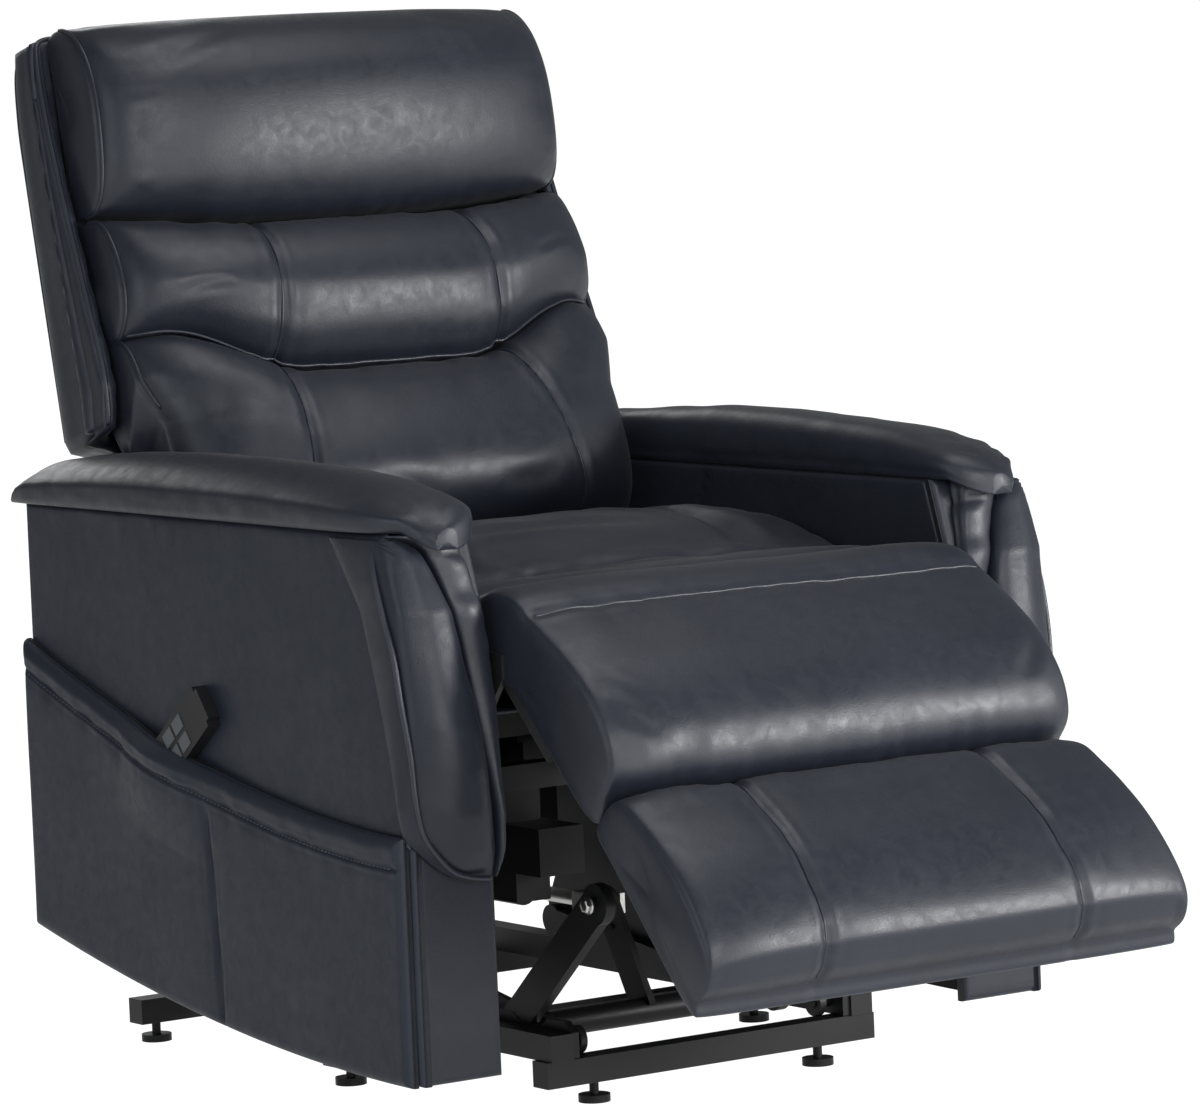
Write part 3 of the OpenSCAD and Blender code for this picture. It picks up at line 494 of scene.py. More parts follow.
def crease(x, y, a, b, depth, width, sag=0.0):
    """Soft fold from a to b in the surface's own plane."""
    ax, ay = a
    bx, by = b
    L = math.hypot(bx - ax, by - ay)
    tx, ty = (bx - ax) / L, (by - ay) / L
    s = ((x - ax) * tx + (y - ay) * ty) / L
    off = -(x - ax) * ty + (y - ay) * tx - sag * 4 * s * (1 - s)
    body = np.where((s > 0) & (s < 1), np.sin(np.pi * np.clip(s, 0, 1)) ** 0.7, 0)
    lips = 0.5 * depth * np.exp(-((np.abs(off) - 2 * width) / width) ** 2)
    return body * (-depth * np.exp(-(off / width) ** 2) + lips)


def softness(x, y, amp, wave, which):
    """Slow rise and fall of soft upholstery."""
    return amp * (noise(x / wave, y / wave, which)
                  + 0.45 * noise(x / wave * 2.1 + 5, y / wave * 2.1, which + 3))


# ---- back cushions: outlines in (distance behind the back's plane, height along it) ----
CB, SH, SL, BL = CUSHION_BACK, SPLIT_HIGH, SPLIT_LOW, BACK_L
ROLL_HALF = 311
HEAD_MID = [(CB, SH + 70), (CB, SH + 3), (0, SH + 3), (-52, SH + 3), (-80, SH + 9), (-102, SH + 26),
            (-118, SH + 54), (-128, SH + 90), (-131, SH + 122), (-126, BL - 72), (-110, BL - 42),
            (-82, BL - 18), (-46, BL - 3), (-6, BL), (26, BL - 12), (CB, BL - 40)]
MIDDLE_MID = [(CB, SL + 90), (CB, SL + 1), (-10, SL + 1), (-78, SL + 1), (-106, SL + 12), (-126, SL + 38),
              (-137, SL + 70), (-140, SL + 100), (-132, SH - 68), (-117, SH - 38), (-96, SH - 16),
              (-68, SH - 4), (0, SH + 1), (CB, SH + 1)]
LOWER_MID = [(CB, 330), (CB, 214), (0, 206), (-60, 202), (-110, 204), (-150, 212), (-178, 228), (-194, 252),
             (-198, 282), (-189, 316), (-171, 352), (-146, 384), (-116, SL - 4), (-80, SL + 1), (0, SL + 1),
             (CB, SL + 1)]
HEAD_EDGE = inset(HEAD_MID, 0.54, 3)
MIDDLE_EDGE = inset(MIDDLE_MID, 0.51, 1)
LOWER_EDGE = inset(LOWER_MID, 0.5, 2)


def back_narrow(w):
    """The two upper rolls draw in slightly towards the top."""
    return 1 - 0.04 * np.clip((w - SL) / (BL - SL), 0, 1)


def lower_narrow(w):
    """Between the arms the lumbar roll is narrower than above them."""
    return 0.94 + 0.06 * np.clip((w - 340) / 36, 0, 1)


def bow(x):
    """Rise of the sewn line between the middle and lower rolls towards the sides."""
    u = np.clip((np.abs(x) - 108) / 172, 0, 1)
    return 60.0 * u * u * (3 - 2 * u)


def sag(x):
    """Drop of the fold under the head roll towards the middle."""
    return 24.0 * (1 - np.clip(np.abs(x) / ROLL_HALF, 0, 1) ** 2.4)


def head_place(p, w, x):
    return back_pt(p, w - sag(x) * np.clip((SH + 120 - w) / 120, 0, 1) ** 1.2)


def head_detail(x, p, w):
    front = np.clip(-p / 60, 0, 1)
    low = w - (SH + 4)
    top = BL - w
    d = softness(x, w, 1.5, 130, 1) * front
    d += gathers(x, low, 1.6, 34, 24, 2) * front
    d += crease(x, w, (-250, SH + 150), (-120, SH + 190), 1.6, 10, 6) * front
    d += crease(x, w, (215, SH + 185), (120, SH + 205), 1.2, 9, 4) * front
    d += seam(top - 6 + 0 * x, 2.0, 4.0) * np.clip(1 - np.abs(p + 20) / 60, 0, 1)
    d += gathers(w, 268 - np.abs(x), 1.6, 26, 26, 4) * front
    return d


def middle_seam(p, w):
    """Distance of the upright seams from the middle line."""
    return 150 - 14 * (w - SL) / (SH - SL)


def middle_detail(x, p, w):
    front = np.clip(-p / 60, 0, 1)
    s = np.abs(x) - middle_seam(p, w)
    d = softness(x, w, 1.2, 105, 3) * front
    d += seam(s, 3.6, 5.0) * front
    d += gathers(w, s, 1.3, 30, 26, 1) * front
    d += gathers(x, SH - 4 - w, 1.5, 30, 22, 5) * front
    d += gathers(x, w - SL, 1.2, 30, 18, 6) * front
    d += crease(x, w, (-262, SL + 66), (-196, SL + 92), 1.6, 9, 5) * front
    d += crease(x, w, (262, SL + 120), (206, SL + 104), 1.3, 9, -4) * front
    return d


def lower_seam(p, w):
    return 150 + 34 * np.clip((SL - w) / 170, 0, 1)


def lower_detail(x, p, w):
    front = np.clip(-p / 60, 0, 1)
    s = np.abs(x) - lower_seam(p, w)
    d = softness(x, w, 1.5, 120, 5) * front
    d += seam(s, 3.2, 5.0) * front * np.clip((w - 215) / 40, 0, 1)
    d += gathers(w, s, 1.2, 32, 24, 3) * front
    d += gathers(x, SL - 6 - w, 1.2, 30, 24, 7) * front
    d += crease(x, w, (-110, 262), (-20, 236), 2.0, 12, 6) * front
    d += crease(x, w, (60, 250), (150, 262), 1.8, 12, -6) * front
    d += crease(x, w, (-262, 330), (-205, 362), 2.2, 13, 4) * front
    return d


def middle_place(p, w, x):
    return back_pt(p, w + bow(x) * np.clip((SH - 30 - w) / (SH - 30 - SL), 0, 1) ** 1.4
                   - sag(x) * np.clip((w - SH + 120) / 120, 0, 1) ** 1.2)


def lower_place(p, w, x):
    return back_pt(p, w + bow(x) * np.clip((w - 270) / (SL - 270), 0, 1) ** 1.4)


head = cushion("head_roll", HEAD_MID, HEAD_EDGE, ROLL_HALF, head_place, head_detail, M_LEATHER,
               narrow=back_narrow, power=3.0)
middle = cushion("middle_roll", MIDDLE_MID, MIDDLE_EDGE, ROLL_HALF, middle_place, middle_detail, M_LEATHER,
                 narrow=back_narrow, power=3.2)
lower = cushion("lumbar_roll", LOWER_MID, LOWER_EDGE, ROLL_HALF, lower_place, lower_detail, M_LEATHER,
                narrow=lower_narrow, power=3.0)
finish_piece(head, "back", ["head_cushion"])
finish_piece(middle, "back", ["middle_cushion"])
finish_piece(lower, "back", ["lower_cushion"])


def welt(name, path, body, r=1.5):
    """Thin piping in a sewn line."""
    return finish_piece(tube(name, path, r, M_PIPING, n=8), body)


def end_path(name, side, keep):
    """Line along the end ring of a cushion."""
    g, X, ring = GRIDS[name]
    i = 1 if side < 0 else len(g) - 2
    mask = np.array([bool(keep(p, w)) for p, w in ring[i]])
    k = int(np.argmin(mask)) if not mask.all() else 0
    order = np.roll(np.arange(len(mask)), -k)
    return g[i][order[mask[order]]]


for side, tag in ((-1, "right"), (1, "left")):
    for name in ("head_roll", "middle_roll", "lumbar_roll"):
        welt(f"{name}_end_welt_{tag}", end_path(name, side, lambda p, w: p < -6 and w > 352), "back", 2.2)
welt("lumbar_top_welt", ring_path("middle_roll", -94, SL + 6, -307, 307), "back", 2.3)
for side, tag in ((-1, "right"), (1, "left")):
    path = seam_path("middle_roll", lambda p, w: side * middle_seam(p, w), lambda p, w: p < -40)
    welt(f"middle_welt_{tag}", path, "back")
    path = seam_path("lumbar_roll", lambda p, w: side * lower_seam(p, w), lambda p, w: p < -70 and w > 214)
    welt(f"lumbar_welt_{tag}", path, "back")

# ---- seat ----
SEAT_H = 546.0
SEAT_REAR = 597.0
SEAT_BOARD = 420.3  # top of the seat boards
RH, RR = SEAT_H, SEAT_REAR
SEAT_MID = [(320, SEAT_BOARD), (46, SEAT_BOARD), (63, 440), (72, 480), (66, 514), (52, 539), (40, RH + 2),
            (62, RH + 9), (110, RH + 6), (150, RH + 2), (200, RH + 14), (260, RH + 36), (340, RH + 43),
            (420, RH + 40), (470, RH + 33), (510, RH + 18), (540, RH), (RR - 14, RH - 40), (RR, RH - 62),
            (RR, SEAT_BOARD + 20), (RR - 16, SEAT_BOARD)]
SEAT_EDGE = [(320, SEAT_BOARD), (60, SEAT_BOARD), (72, 440), (80, 474), (78, 496), (66, 520), (62, RH - 16),
             (80, RH - 10), (120, RH - 14), (155, RH - 16), (200, RH - 8), (260, RH + 6), (340, RH + 12),
             (420, RH + 10), (470, RH + 4), (505, RH - 14), (530, RH - 32), (RR - 26, RH - 60),
             (RR - 12, RH - 76), (RR - 12, SEAT_BOARD + 20), (RR - 26, SEAT_BOARD)]


def seat_detail(x, y, z):
    up = np.clip((z - 500) / 30, 0, 1)
    rear = np.clip((y - 170) / 60, 0, 1)
    d = softness(x, y, 2.2, 115, 2) * up
    d += seam(y - 166 - 10 * np.cos(x / 95), 5.0, 8.0) * up
    d += gathers(x, y - 166, 2.6, 44, 46, 6) * up
    d += seam(np.abs(x) - 182, 9.0, 16.0) * up * rear
    d += crease(x, y, (-230, 104), (40, 122), 2.6, 16, 10) * up
    d += crease(x, y, (60, 120), (240, 96), 2.6, 15, -8) * up
    d += crease(x, y, (-150, 290), (120, 262), 2.6, 19, 10) * up
    d += gathers(y, 284 - np.abs(x), 2.4, 34, 34, 3) * up
    return d


seat = cushion("seat_pillow", SEAT_MID, SEAT_EDGE, 292, lambda p, w, x: (p, w), seat_detail, M_LEATHER,
               power=5.0)
finish_piece(seat, "chassis", ["seat_cushion"])

# ---- leg rest ----
NOSE = 80.0  # radius of the bolster round its hinge
S = LEG_SPLIT
BOLSTER_MID = [(60, 0), (S - 3, 0), (S - 1, 40), (S - 8, 74), (184, 97), (146, 107), (104, 107), (62, 99),
               (28, 90), (0, NOSE + 2), (-30, 75), (-56, 57), (-73, 33), (-NOSE, 0), (-73, -33), (-56, -57),
               (-20, -40), (20, -4)]
PAD_MID = [(S + 60, 0), (LEG_L - 6, 0), (LEG_L, 20), (LEG_L + 2, 46), (LEG_L - 8, 69), (LEG_L - 30, 83),
           (LEG_L - 70, 92), (LEG_L - 115, 94), (LEG_L - 160, 88), (S + 50, 80), (S + 20, 70), (S + 3, 50),
           (S + 1, 14), (S + 10, 0)]
BOLSTER_EDGE = [(p + (60 - p) * 0.06, q * 0.86) for p, q in BOLSTER_MID]
PAD_EDGE = inset([(q, p) for p, q in PAD_MID], 0.82, 3, back=0.0)
PAD_EDGE = [(p, q) for q, p in PAD_EDGE]


def bolster_detail(x, p, q):
    face = np.clip(q / 40, 0, 1)
    d = softness(x, p, 1.5, 130, 4) * face
    d += gathers(x, S - 6 - p, 2.0, 34, 28, 2) * face
    d += seam(p, 2.2, 5.0) * np.where(q > 20, 1, 0)
    d += gathers(x, p, 1.2, 30, 24, 5) * face
    d += crease(x, p, (-276, 112), (-226, 164), 1.9, 9, 3) * face
    d += crease(x, p, (-278, 140), (-236, 184), 1.6, 8, 3) * face
    d += crease(x, p, (276, 122), (232, 172), 1.5, 9, -3) * face
    return d


def pad_seam(p, q):
    return 152 + 12 * (p - S) / 250


def pad_detail(x, p, q):
    face = np.clip(q / 40, 0, 1)
    s = np.abs(x) - pad_seam(p, q)
    d = softness(x, p, 1.3, 130, 6) * face
    d += seam(s, 3.6, 5.0) * face
    d += gathers(p, s, 1.2, 32, 24, 3) * face
    d += gathers(x, p - S - 4, 1.6, 30, 24, 4) * face
    d += seam(LEG_L - 3 - p, 1.8, 4.0) * np.clip((q - 15) / 20, 0, 1)
    return d


def flare(p):
    """The lower pad widens slightly towards its foot."""
    return 1.0 + 0.035 * np.clip((p - S) / (LEG_L - S), 0, 1)


bolster = cushion("knee_roll", BOLSTER_MID, BOLSTER_EDGE, 292, lambda p, w, x: leg_pt(p, w), bolster_detail,
                  M_LEATHER, power=6.5)
legpad = cushion("calf_pad", PAD_MID, PAD_EDGE, 293, lambda p, w, x: leg_pt(p, w), pad_detail, M_LEATHER,
                 power=6.5, spread=flare)
finish_piece(bolster, "leg_rest", ["leg_bolster"])
finish_piece(legpad, "leg_rest", ["leg_pad"])
welt("knee_roll_piping", ring_path("knee_roll", 0, NOSE + 2, -286, 286), "leg_rest", 2.4)
for side, tag in ((-1, "right"), (1, "left")):
    path = seam_path("calf_pad", lambda p, q: side * pad_seam(p, q), lambda p, q: q > 24)
    welt(f"calf_welt_{tag}", path, "leg_rest")


# ---- arms ----
def slab(name, base, out, thick, size, mat, ns=70, nt=60, r=8.0, crown=0.0, detail=None):
    """Leather skin over a panel: base(s, t) on the panel, rounded over its edges and closed behind."""
    def steps(n, length):
        ang = np.linspace(0, math.pi / 2, 7)[:-1]
        lo = r * (1 - np.cos(ang))
        return np.r_[lo, np.linspace(r, length - r, n - 12), length - lo[::-1]] / length

    s, t = np.meshgrid(steps(ns, size[0]), steps(nt, size[1]), indexing="ij")
    d = np.minimum(np.minimum(s, 1 - s) * size[0], np.minimum(t, 1 - t) * size[1])
    h = thick - r + r * np.sqrt(np.clip(1 - (1 - np.clip(d / r, 0, 1)) ** 2, 0, 1))
    h = h + crown * 16 * s * (1 - s) * t * (1 - t)
    P = base(s, t)
    if detail is not None:
        h = h + detail(s, t, P) * np.clip(d / 12, 0, 1)
    front = P + np.asarray(out, float) * h[..., None]
    m, n = s.shape
    loop = [(i, 0) for i in range(m)] + [(m - 1, j) for j in range(1, n)]
    loop += [(i, n - 1) for i in range(m - 2, -1, -1)] + [(0, j) for j in range(n - 2, 0, -1)]
    border = np.array([P[i, j] for i, j in loop])
    k, L = m * n, len(loop)
    ids = [i * n + j for i, j in loop]
    f = [list(q) for q in grid_faces(m, n, False)]
    f += [[ids[i], ids[(i + 1) % L], k + (i + 1) % L, k + i][::-1] for i in range(L)]
    f += [[k + i, k + (i + 1) % L, k + L][::-1] for i in range(L)]
    return outward(make(name, np.vstack([front.reshape(-1, 3), border, border.mean(0)[None]]), f, mat))


def side_base(x, y0=0.0, y1=ARM_D, high=None):
    """Side of an arm from its sill up to the arm board, or to the line high(y)."""
    def base(s, t):
        y = y0 + s * (y1 - y0)
        z0 = sill(y)
        z1 = np.full_like(y, ARM_H) if high is None else high(y)
        z = z0 + t * (z1 - z0)
        yy = np.where(y0 <= 0.5, y + front_y(z) * (1 - s), y)
        return np.stack([np.full_like(y, x), yy, z], -1)
    return base


def cross_base(x0, x1, z0, z1, y, lean):
    """Upright panel across the chair, which leans like the arm fronts where asked."""
    def base(s, t):
        z = z0 + t * (z1 - z0)
        return np.stack([x0 + s * (x1 - x0), y + (front_y(z) if lean else 0 * z), z], -1)
    return base


def side_wave(s, t, P):
    y, z = P[..., 1], P[..., 2]
    return softness(y, z, 1.3, 150, 1) + gathers(y, (1 - t) * 300, 1.6, 40, 22, 2) + \
        crease(y, z, (120, 470), (230, 330), 1.8, 16, 10)


TAIL = (490.0, 332.0)  # y and z of the hand control's tail inside the pocket
MOUTH = 10.5  # how far the pocket's mouth stands off the side at the hand control


def mouth(y):
    return MOUTH * np.exp(-((y - 450) / 74) ** 2)


def pocket_wave(s, t, P):
    y, z = P[..., 1], P[..., 2]
    dist = hem(y) - z
    d = softness(y, z, 1.5, 150, 5)
    divide = 377 - 14 * np.clip((332 - z) / 235, 0, 1)
    d += seam(y - divide, 3.6, 3.4) * np.clip((hem(y) - 34 - z) / 20, 0, 1)
    d += 2.4 * np.clip(1 - np.abs(dist - 14) / 16, 0, 1) ** 0.5
    d += seam(dist - 31, 2.4, 2.6)
    d += gathers(y, dist - 31, 1.6, 26, 20, 4)
    near = np.exp(-((y - 452) / 85) ** 2) * np.clip(1 - dist / 150, 0, 1)
    tail = np.exp(-((y - TAIL[0]) / 60) ** 2 - ((z - TAIL[1]) / 62) ** 2) * np.clip((dist + 2) / 14, 0, 1)
    return d + 2.0 * near + 7.0 * tail


PAD_HEIGHT = ([-24, -21, -14, -2, 14, 34, 60, 100, 150, 220, 340, 460, 580, 680, 738, 758, 766, 769],
              [8, 14, 20, 25, 30, 36, 43, 50, 54, 58, 62, 62, 58, 52, 46, 38, 26, 14])
PAD_CUT = ([-24, -14, -2, 14, 34, 60, 100], [50, 40, 33, 24, 13, 5, 0])
PAD_CUT_IN = ([-24, -20, -12, 0, 14, 34], [44, 33, 20, 9, 3, 0])


# (x, y) ends, depth and width of the folds round the pad's nose
NOSE_PUCKERS = [((410, 36), (372, 12), 3.4, 5), ((416, 58), (374, 30), 2.8, 6),
                ((412, 88), (358, 62), 2.2, 8), ((318, 20), (352, 2), 2.2, 6),
                ((312, 62), (350, 44), 2.0, 8)]


def tongue_edge(z):
    """Line where the tongue of the pad meets the front roll; it sweeps out under the pad."""
    return np.interp(z, [262, 509, 541, 572, 586, 600, 610, 618], [303, 339, 347, 356, 361, 368, 380, 400])


def tongue_inner(z):
    """Inner edge of the tongue, which draws in under the pad's nose."""
    return np.interp(z, [262, 440, 500, 560, 600, 618], [300, 300, 304, 313, 320, 326])


def arm_panels(side, tag, xo):
    """The four padded panels of an arm."""
    def wrap(base):
        def mirrored(s, t):
            p = base(s, t)
            return np.stack([side * p[..., 0], p[..., 1], p[..., 2]], -1)
        return mirrored

    def inner(s, t):
        y = PANEL + s * (ARM_D - 2 * PANEL)
        z = 300 + t * (ARM_H - 300)
        return np.stack([np.full_like(y, SEAT_HALF + PANEL), y + front_y(z) * (1 - s), z], -1)

    def inner_wave(s, t, P):
        y, z = P[..., 1], P[..., 2]
        return softness(y, z, 1.0, 110, 5) + seam(y - 423 - 42 * (660 - z) / 104, 3.0, 3.4)

    def end_wave(which):
        return lambda s, t, P: softness(P[..., 0], P[..., 2], 0.8, 90, which)

    end = xo - PANEL + 7
    front = cross_base(SEAT_HALF, end, 55, ARM_H, PANEL, True)
    rear = cross_base(SEAT_HALF, end, 149, ARM_H, ARM_D - PANEL, False)
    side_skin = slab(f"arm_side_{tag}", wrap(side_base(xo - PANEL)), (side, 0, 0), PANEL,
                     (ARM_D, 520), M_SIDE, ns=110, nt=90, r=7, crown=1.5, detail=side_wave)
    front_skin = slab(f"arm_front_{tag}", wrap(front), (0, -1, 0), PANEL, (101, 565), M_LEATHER,
                      ns=40, nt=90, r=7, detail=end_wave(3))
    rear_skin = slab(f"arm_back_{tag}", wrap(rear), (0, 1, 0), PANEL, (101, 471), M_LEATHER,
                     ns=40, nt=80, r=7, detail=end_wave(4))
    inner_skin = slab(f"arm_inner_{tag}", wrap(inner), (-side, 0, 0), PANEL, (734, 320), M_LEATHER,
                      ns=100, nt=60, r=6, detail=inner_wave)
    skins = {"side": side_skin, "front": front_skin, "rear": rear_skin, "inner": inner_skin}
    for kind, skin in skins.items():
        finish_piece(skin, "chassis", [f"{kind}_panel_{tag}"])


def arm_pad(side, tag):
    """Top pad of an arm, whose nose narrows and droops over the front."""
    steps = np.r_[np.array([-24, -23.4, -22, -19.5, -16, -11, -5, 2, 10, 20, 32, 46, 62, 80, 98]),
                  np.linspace(116, 722, 60), np.array([732, 742, 750, 756, 761, 765, 767.5, 769])]
    rings = []
    for y in steps:
        u = (y + 24) / 793.0
        k = min(1, math.sqrt(max(0, min(u, 1 - u)) * 22))
        cut = np.interp(y, PAD_CUT[0], PAD_CUT[1])
        h = np.interp(y, PAD_HEIGHT[0], PAD_HEIGHT[1])
        cut_in = np.interp(y, PAD_CUT_IN[0], PAD_CUT_IN[1])
        a, b = SEAT_HALF + 1 + max(cut_in, 6 * (1 - k)), HALF + 12 - max(cut, 6 * (1 - k))
        droop = 17.0 * np.clip((8 - y) / 30, 0, 1)
        w, mid_x, t, z = b - a, (a + b) / 2, h * (0.5 + 0.5 * k) + droop, ARM_H + 0.3 - droop
        q = [(mid_x, z), (b - 0.08 * w, z), (b - 1.6, z + t * 0.06), (b, z + t * 0.22),
             (b - 0.2, z + t * 0.4), (b - 1.6, z + t * 0.5), (b - 0.08 * w, z + t * 0.63),
             (b - 0.22 * w, z + t * 0.81), (mid_x + 0.12 * w, z + t * 0.94), (mid_x - 0.05 * w, z + t),
             (mid_x - 0.24 * w, z + t * 0.985), (a + 0.13 * w, z + t * 0.9),
             (a + 0.04 * w, z + t * 0.72), (a, z + t * 0.46), (a, z + t * 0.22), (a + 0.05 * w, z)]
        c = sample(q, 96, True)
        rings.append(np.stack([side * c[:, 0], np.full(len(c), y), c[:, 1]], 1))
    g = np.array(rings)
    lift = np.clip((g[..., 2] - ARM_H - 4) / 10, 0, 1)
    d = softness(g[..., 0], g[..., 1], 1.2, 90, 2) * lift
    d += gathers(g[..., 1], 18 - (g[..., 2] - ARM_H), 1.4, 24, 16, 6) * lift
    for start, end, deep, wide in NOSE_PUCKERS:
        d += crease(np.abs(g[..., 0]), g[..., 1], start, end, deep, wide, 3) * lift
    pad = closed_skin(f"arm_rest_pad_{tag}", g + ring_normals(g) * d[..., None], M_LEATHER)
    finish_piece(pad, "chassis", [f"arm_pad_{tag}"])


def arm_roll(side, tag, face):
    """Leather roll round the front corner; face is the x of the arm's side."""
    rings = []
    zs = np.r_[264, 265.5, 268, 272, 277, 283, np.linspace(290, 590, 62), 597, 603, 608, 611.5, 614]
    zt = [264, 276, 290, 330, 380, 420, 470, 526, 570, 600, 614]
    tt = [4, 17, 26, 38, 44, 45, 37, 27, 24, 21, 10]
    for z in zs:
        u = (z - 264) / 350.0
        k = min(1, math.sqrt(max(0.004, min(u, 1 - u)) * 8))
        inn = float(tongue_edge(z)) + 2
        w = face - inn
        sd = 6 + 92 * u ** 1.6
        out = 3 + 8.5 * k
        y0 = float(front_y(z)) - 0.3
        t = float(np.interp(z, zt, tt))
        q = [(face + 0.3, y0 + 3), (face + 0.3, y0 + sd), (face + 0.3 + 0.55 * out, y0 + sd * 0.97),
             (face + 0.85 * out, y0 + sd * 0.8), (face + out, y0 + sd * 0.35),
             (face + 0.9 * out, y0 - 0.12 * t), (face + 0.5 * out, y0 - 0.5 * t),
             (face - 0.12 * w, y0 - 0.8 * t), (face - 0.3 * w, y0 - 0.96 * t),
             (max((face + inn) / 2, inn + 1), y0 - t), (inn + 0.2 * w, y0 - 0.92 * t),
             (inn + 2, y0 - 0.64 * t), (inn, y0 - 0.2 * t), (inn + 2, y0)]
        c = sample(q, 90, True)
        shear = 46 * (1 - u) ** 3 * np.clip((c[:, 0] - 345) / 63, 0, None) ** 1.6
        rings.append(np.stack([side * c[:, 0], c[:, 1], z + shear], 1))
    g = np.array(rings)
    ax = np.abs(g[..., 0])
    frontal = np.clip(-g[..., 1] / 14 + 0.4, 0, 1)
    d = softness(ax, g[..., 2], 0.9, 80, 4)
    d += gathers(g[..., 2], ax - tongue_edge(g[..., 2]), 1.2, 30, 14, 1) * frontal
    d += gathers(ax, 614 - g[..., 2], 1.4, 18, 22, 3)
    bump = closed_skin(f"arm_front_roll_{tag}", g + ring_normals(g) * d[..., None], M_ROLL)
    finish_piece(bump, "chassis", [f"arm_bumper_{tag}"])


def arm_tongue(side, tag):
    """Tongue that runs down the inner front from the pad's nose."""
    rings = []
    zt = [262, 290, 330, 400, 498, 560, 600, 618]
    tt = [5, 23, 30, 25, 18, 17, 21, 25]
    for z in np.r_[262, 264, 267, 272, np.linspace(280, 600, 56), 606, 611, 615, 618]:
        b, a0 = float(tongue_edge(z)), float(tongue_inner(z))
        w = b - a0 - 1
        y0 = float(front_y(z)) - 0.3
        t = float(np.interp(z, zt, tt))
        q = [(a0 + 1, y0), (b - 1, y0), (b, y0 - t * 0.4), (b - 0.08 * w, y0 - t * 0.8),
             (a0 + 1 + w * 0.62, y0 - t), (a0 + 1 + w * 0.32, y0 - t),
             (a0 + 1 + 0.07 * w, y0 - t * 0.84), (a0 + 0.5, y0 - t * 0.4)]
        c = sample(q, 48, True)
        rings.append(np.stack([side * c[:, 0], c[:, 1], np.full(len(c), z)], 1))
    g = np.array(rings)
    x, z = g[..., 0], g[..., 2]
    d = softness(x, z, 0.7, 60, 6) + gathers(z, (np.abs(x) - 320) * 0.2, 0.8, 20, 20, 2)
    d += crease(np.abs(x), z, (302, 588), (350, 600), 2.6, 6, 3)
    strip = closed_skin(f"arm_front_tongue_{tag}", g + ring_normals(g) * d[..., None], M_LEATHER)
    finish_piece(strip, "chassis", [f"arm_strip_{tag}"])


WELT_OUT = 2.2  # how far the arm's piping stands off the leather


def arm_piping(side, tag, xo):
    """Piping of an arm: one line down the side behind the roll, one along the roll and under it."""
    behind = [(xo + 1, 99, 612), (xo + 1, 79, 571), (xo + 1, 58, 531), (xo + 1, 33, 489), (xo + 1, 17, 432),
              (xo + 1, 9, 380), (xo, 4, 330), (xo - 2, 1.5, 300)]
    on_roll = [(xo + 3.2, 40, 606), (xo + 9, 26, 575), (xo + 10.5, 10, 535), (xo + 10.5, -4, 500),
               (xo + 10, -14, 450), (xo + 6, -21, 400), (xo + 2, -22, 350), (xo - 6, -20, 318),
               (xo - 20, -19, 296), (xo - 42, -16, 275), (xo - 66, -12, 266), (xo - 92, -10, 262)]
    for name, points, r in (("arm_piping", behind, 3.2), ("arm_roll_piping", on_roll, 3.0)):
        line = catmull(points, False, 8)
        line[:, 0] = (line[:, 0] + WELT_OUT) * side
        finish_piece(tube(f"{name}_{tag}", line, r, M_PIPING), "chassis")


for side, tag, face in ((-1, "right", RIGHT_OUT), (1, "left", HALF)):
    arm_panels(side, tag, face)
    arm_pad(side, tag)
    arm_roll(side, tag, face)
    arm_tongue(side, tag)
    arm_piping(side, tag, face)


def arm_dust_cloth(side, tag):
    """Lining of the lower arm towards the lift base, which hangs under the inner panel."""
    ys = np.linspace(PANEL + 2, ARM_D - PANEL - 2, 40)
    v = [(side * (SEAT_HALF + dx), y, z) for dx in (6, 8) for y in ys for z in (float(sill(y)) + 10, 306.0)]
    m = len(ys)
    f = []
    for k in (0, 2 * m):
        f += [[k + 2 * i, k + 2 * i + 1, k + 2 * i + 3, k + 2 * i + 2] for i in range(m - 1)]
    for i in range(m - 1):
        f += [[2 * i + e, 2 * i + 2 + e, 2 * m + 2 * i + 2 + e, 2 * m + 2 * i + e] for e in (0, 1)]
    f += [[0, 1, 2 * m + 1, 2 * m], [2 * m - 2, 2 * m - 1, 4 * m - 1, 4 * m - 2]]
    cloth = make(f"arm_dust_cloth_{tag}", v, f, M_LINING, smooth=False)
    finish_piece(cloth, "chassis")


def rear_dust_cloth(side, tag):
    """Lining of a rear corner behind the lift base."""
    def base(s, t):
        return np.stack([side * (150 + 146 * s), 742 + 0 * s, 128 + 162 * t], -1)
    cloth = slab(f"rear_dust_cloth_{tag}", base, (0, 1, 0), 4, (146, 162), M_LINING, ns=30, nt=30, r=1.5)
    finish_piece(cloth, "chassis")


for side, tag in ((-1, "right"), (1, "left")):
    arm_dust_cloth(side, tag)
    rear_dust_cloth(side, tag)


# ---- pocket over the lower side ----
def pocket_base(s, t):
    """The mouth of the pocket stands off the side where the hand control is in it."""
    g = side_base(-RIGHT_OUT, 3.0, ARM_D - 2, hem)(s, t)
    y, z = g[..., 1], g[..., 2]
    g[..., 0] -= mouth(y) * np.clip((z - hem(y) + 110) / 85, 0, 1)
    return g


pocket = slab("side_pocket_skin", pocket_base, (-1, 0, 0), 14.5,
              (757, 260), M_SIDE, ns=150, nt=110, r=10, crown=0.5, detail=pocket_wave)
finish_piece(pocket, "chassis", ["side_pocket"])
ys = np.linspace(14, 750, 92)
rows = [np.stack([-RIGHT_OUT - 16.4 - mouth(ys) * 0.93, ys, hem(ys) - 31], 1)]
o = stitches("pocket_hem_stitches", rows, M_THREAD, (-1, 0, 0))
finish_piece(o, "chassis")

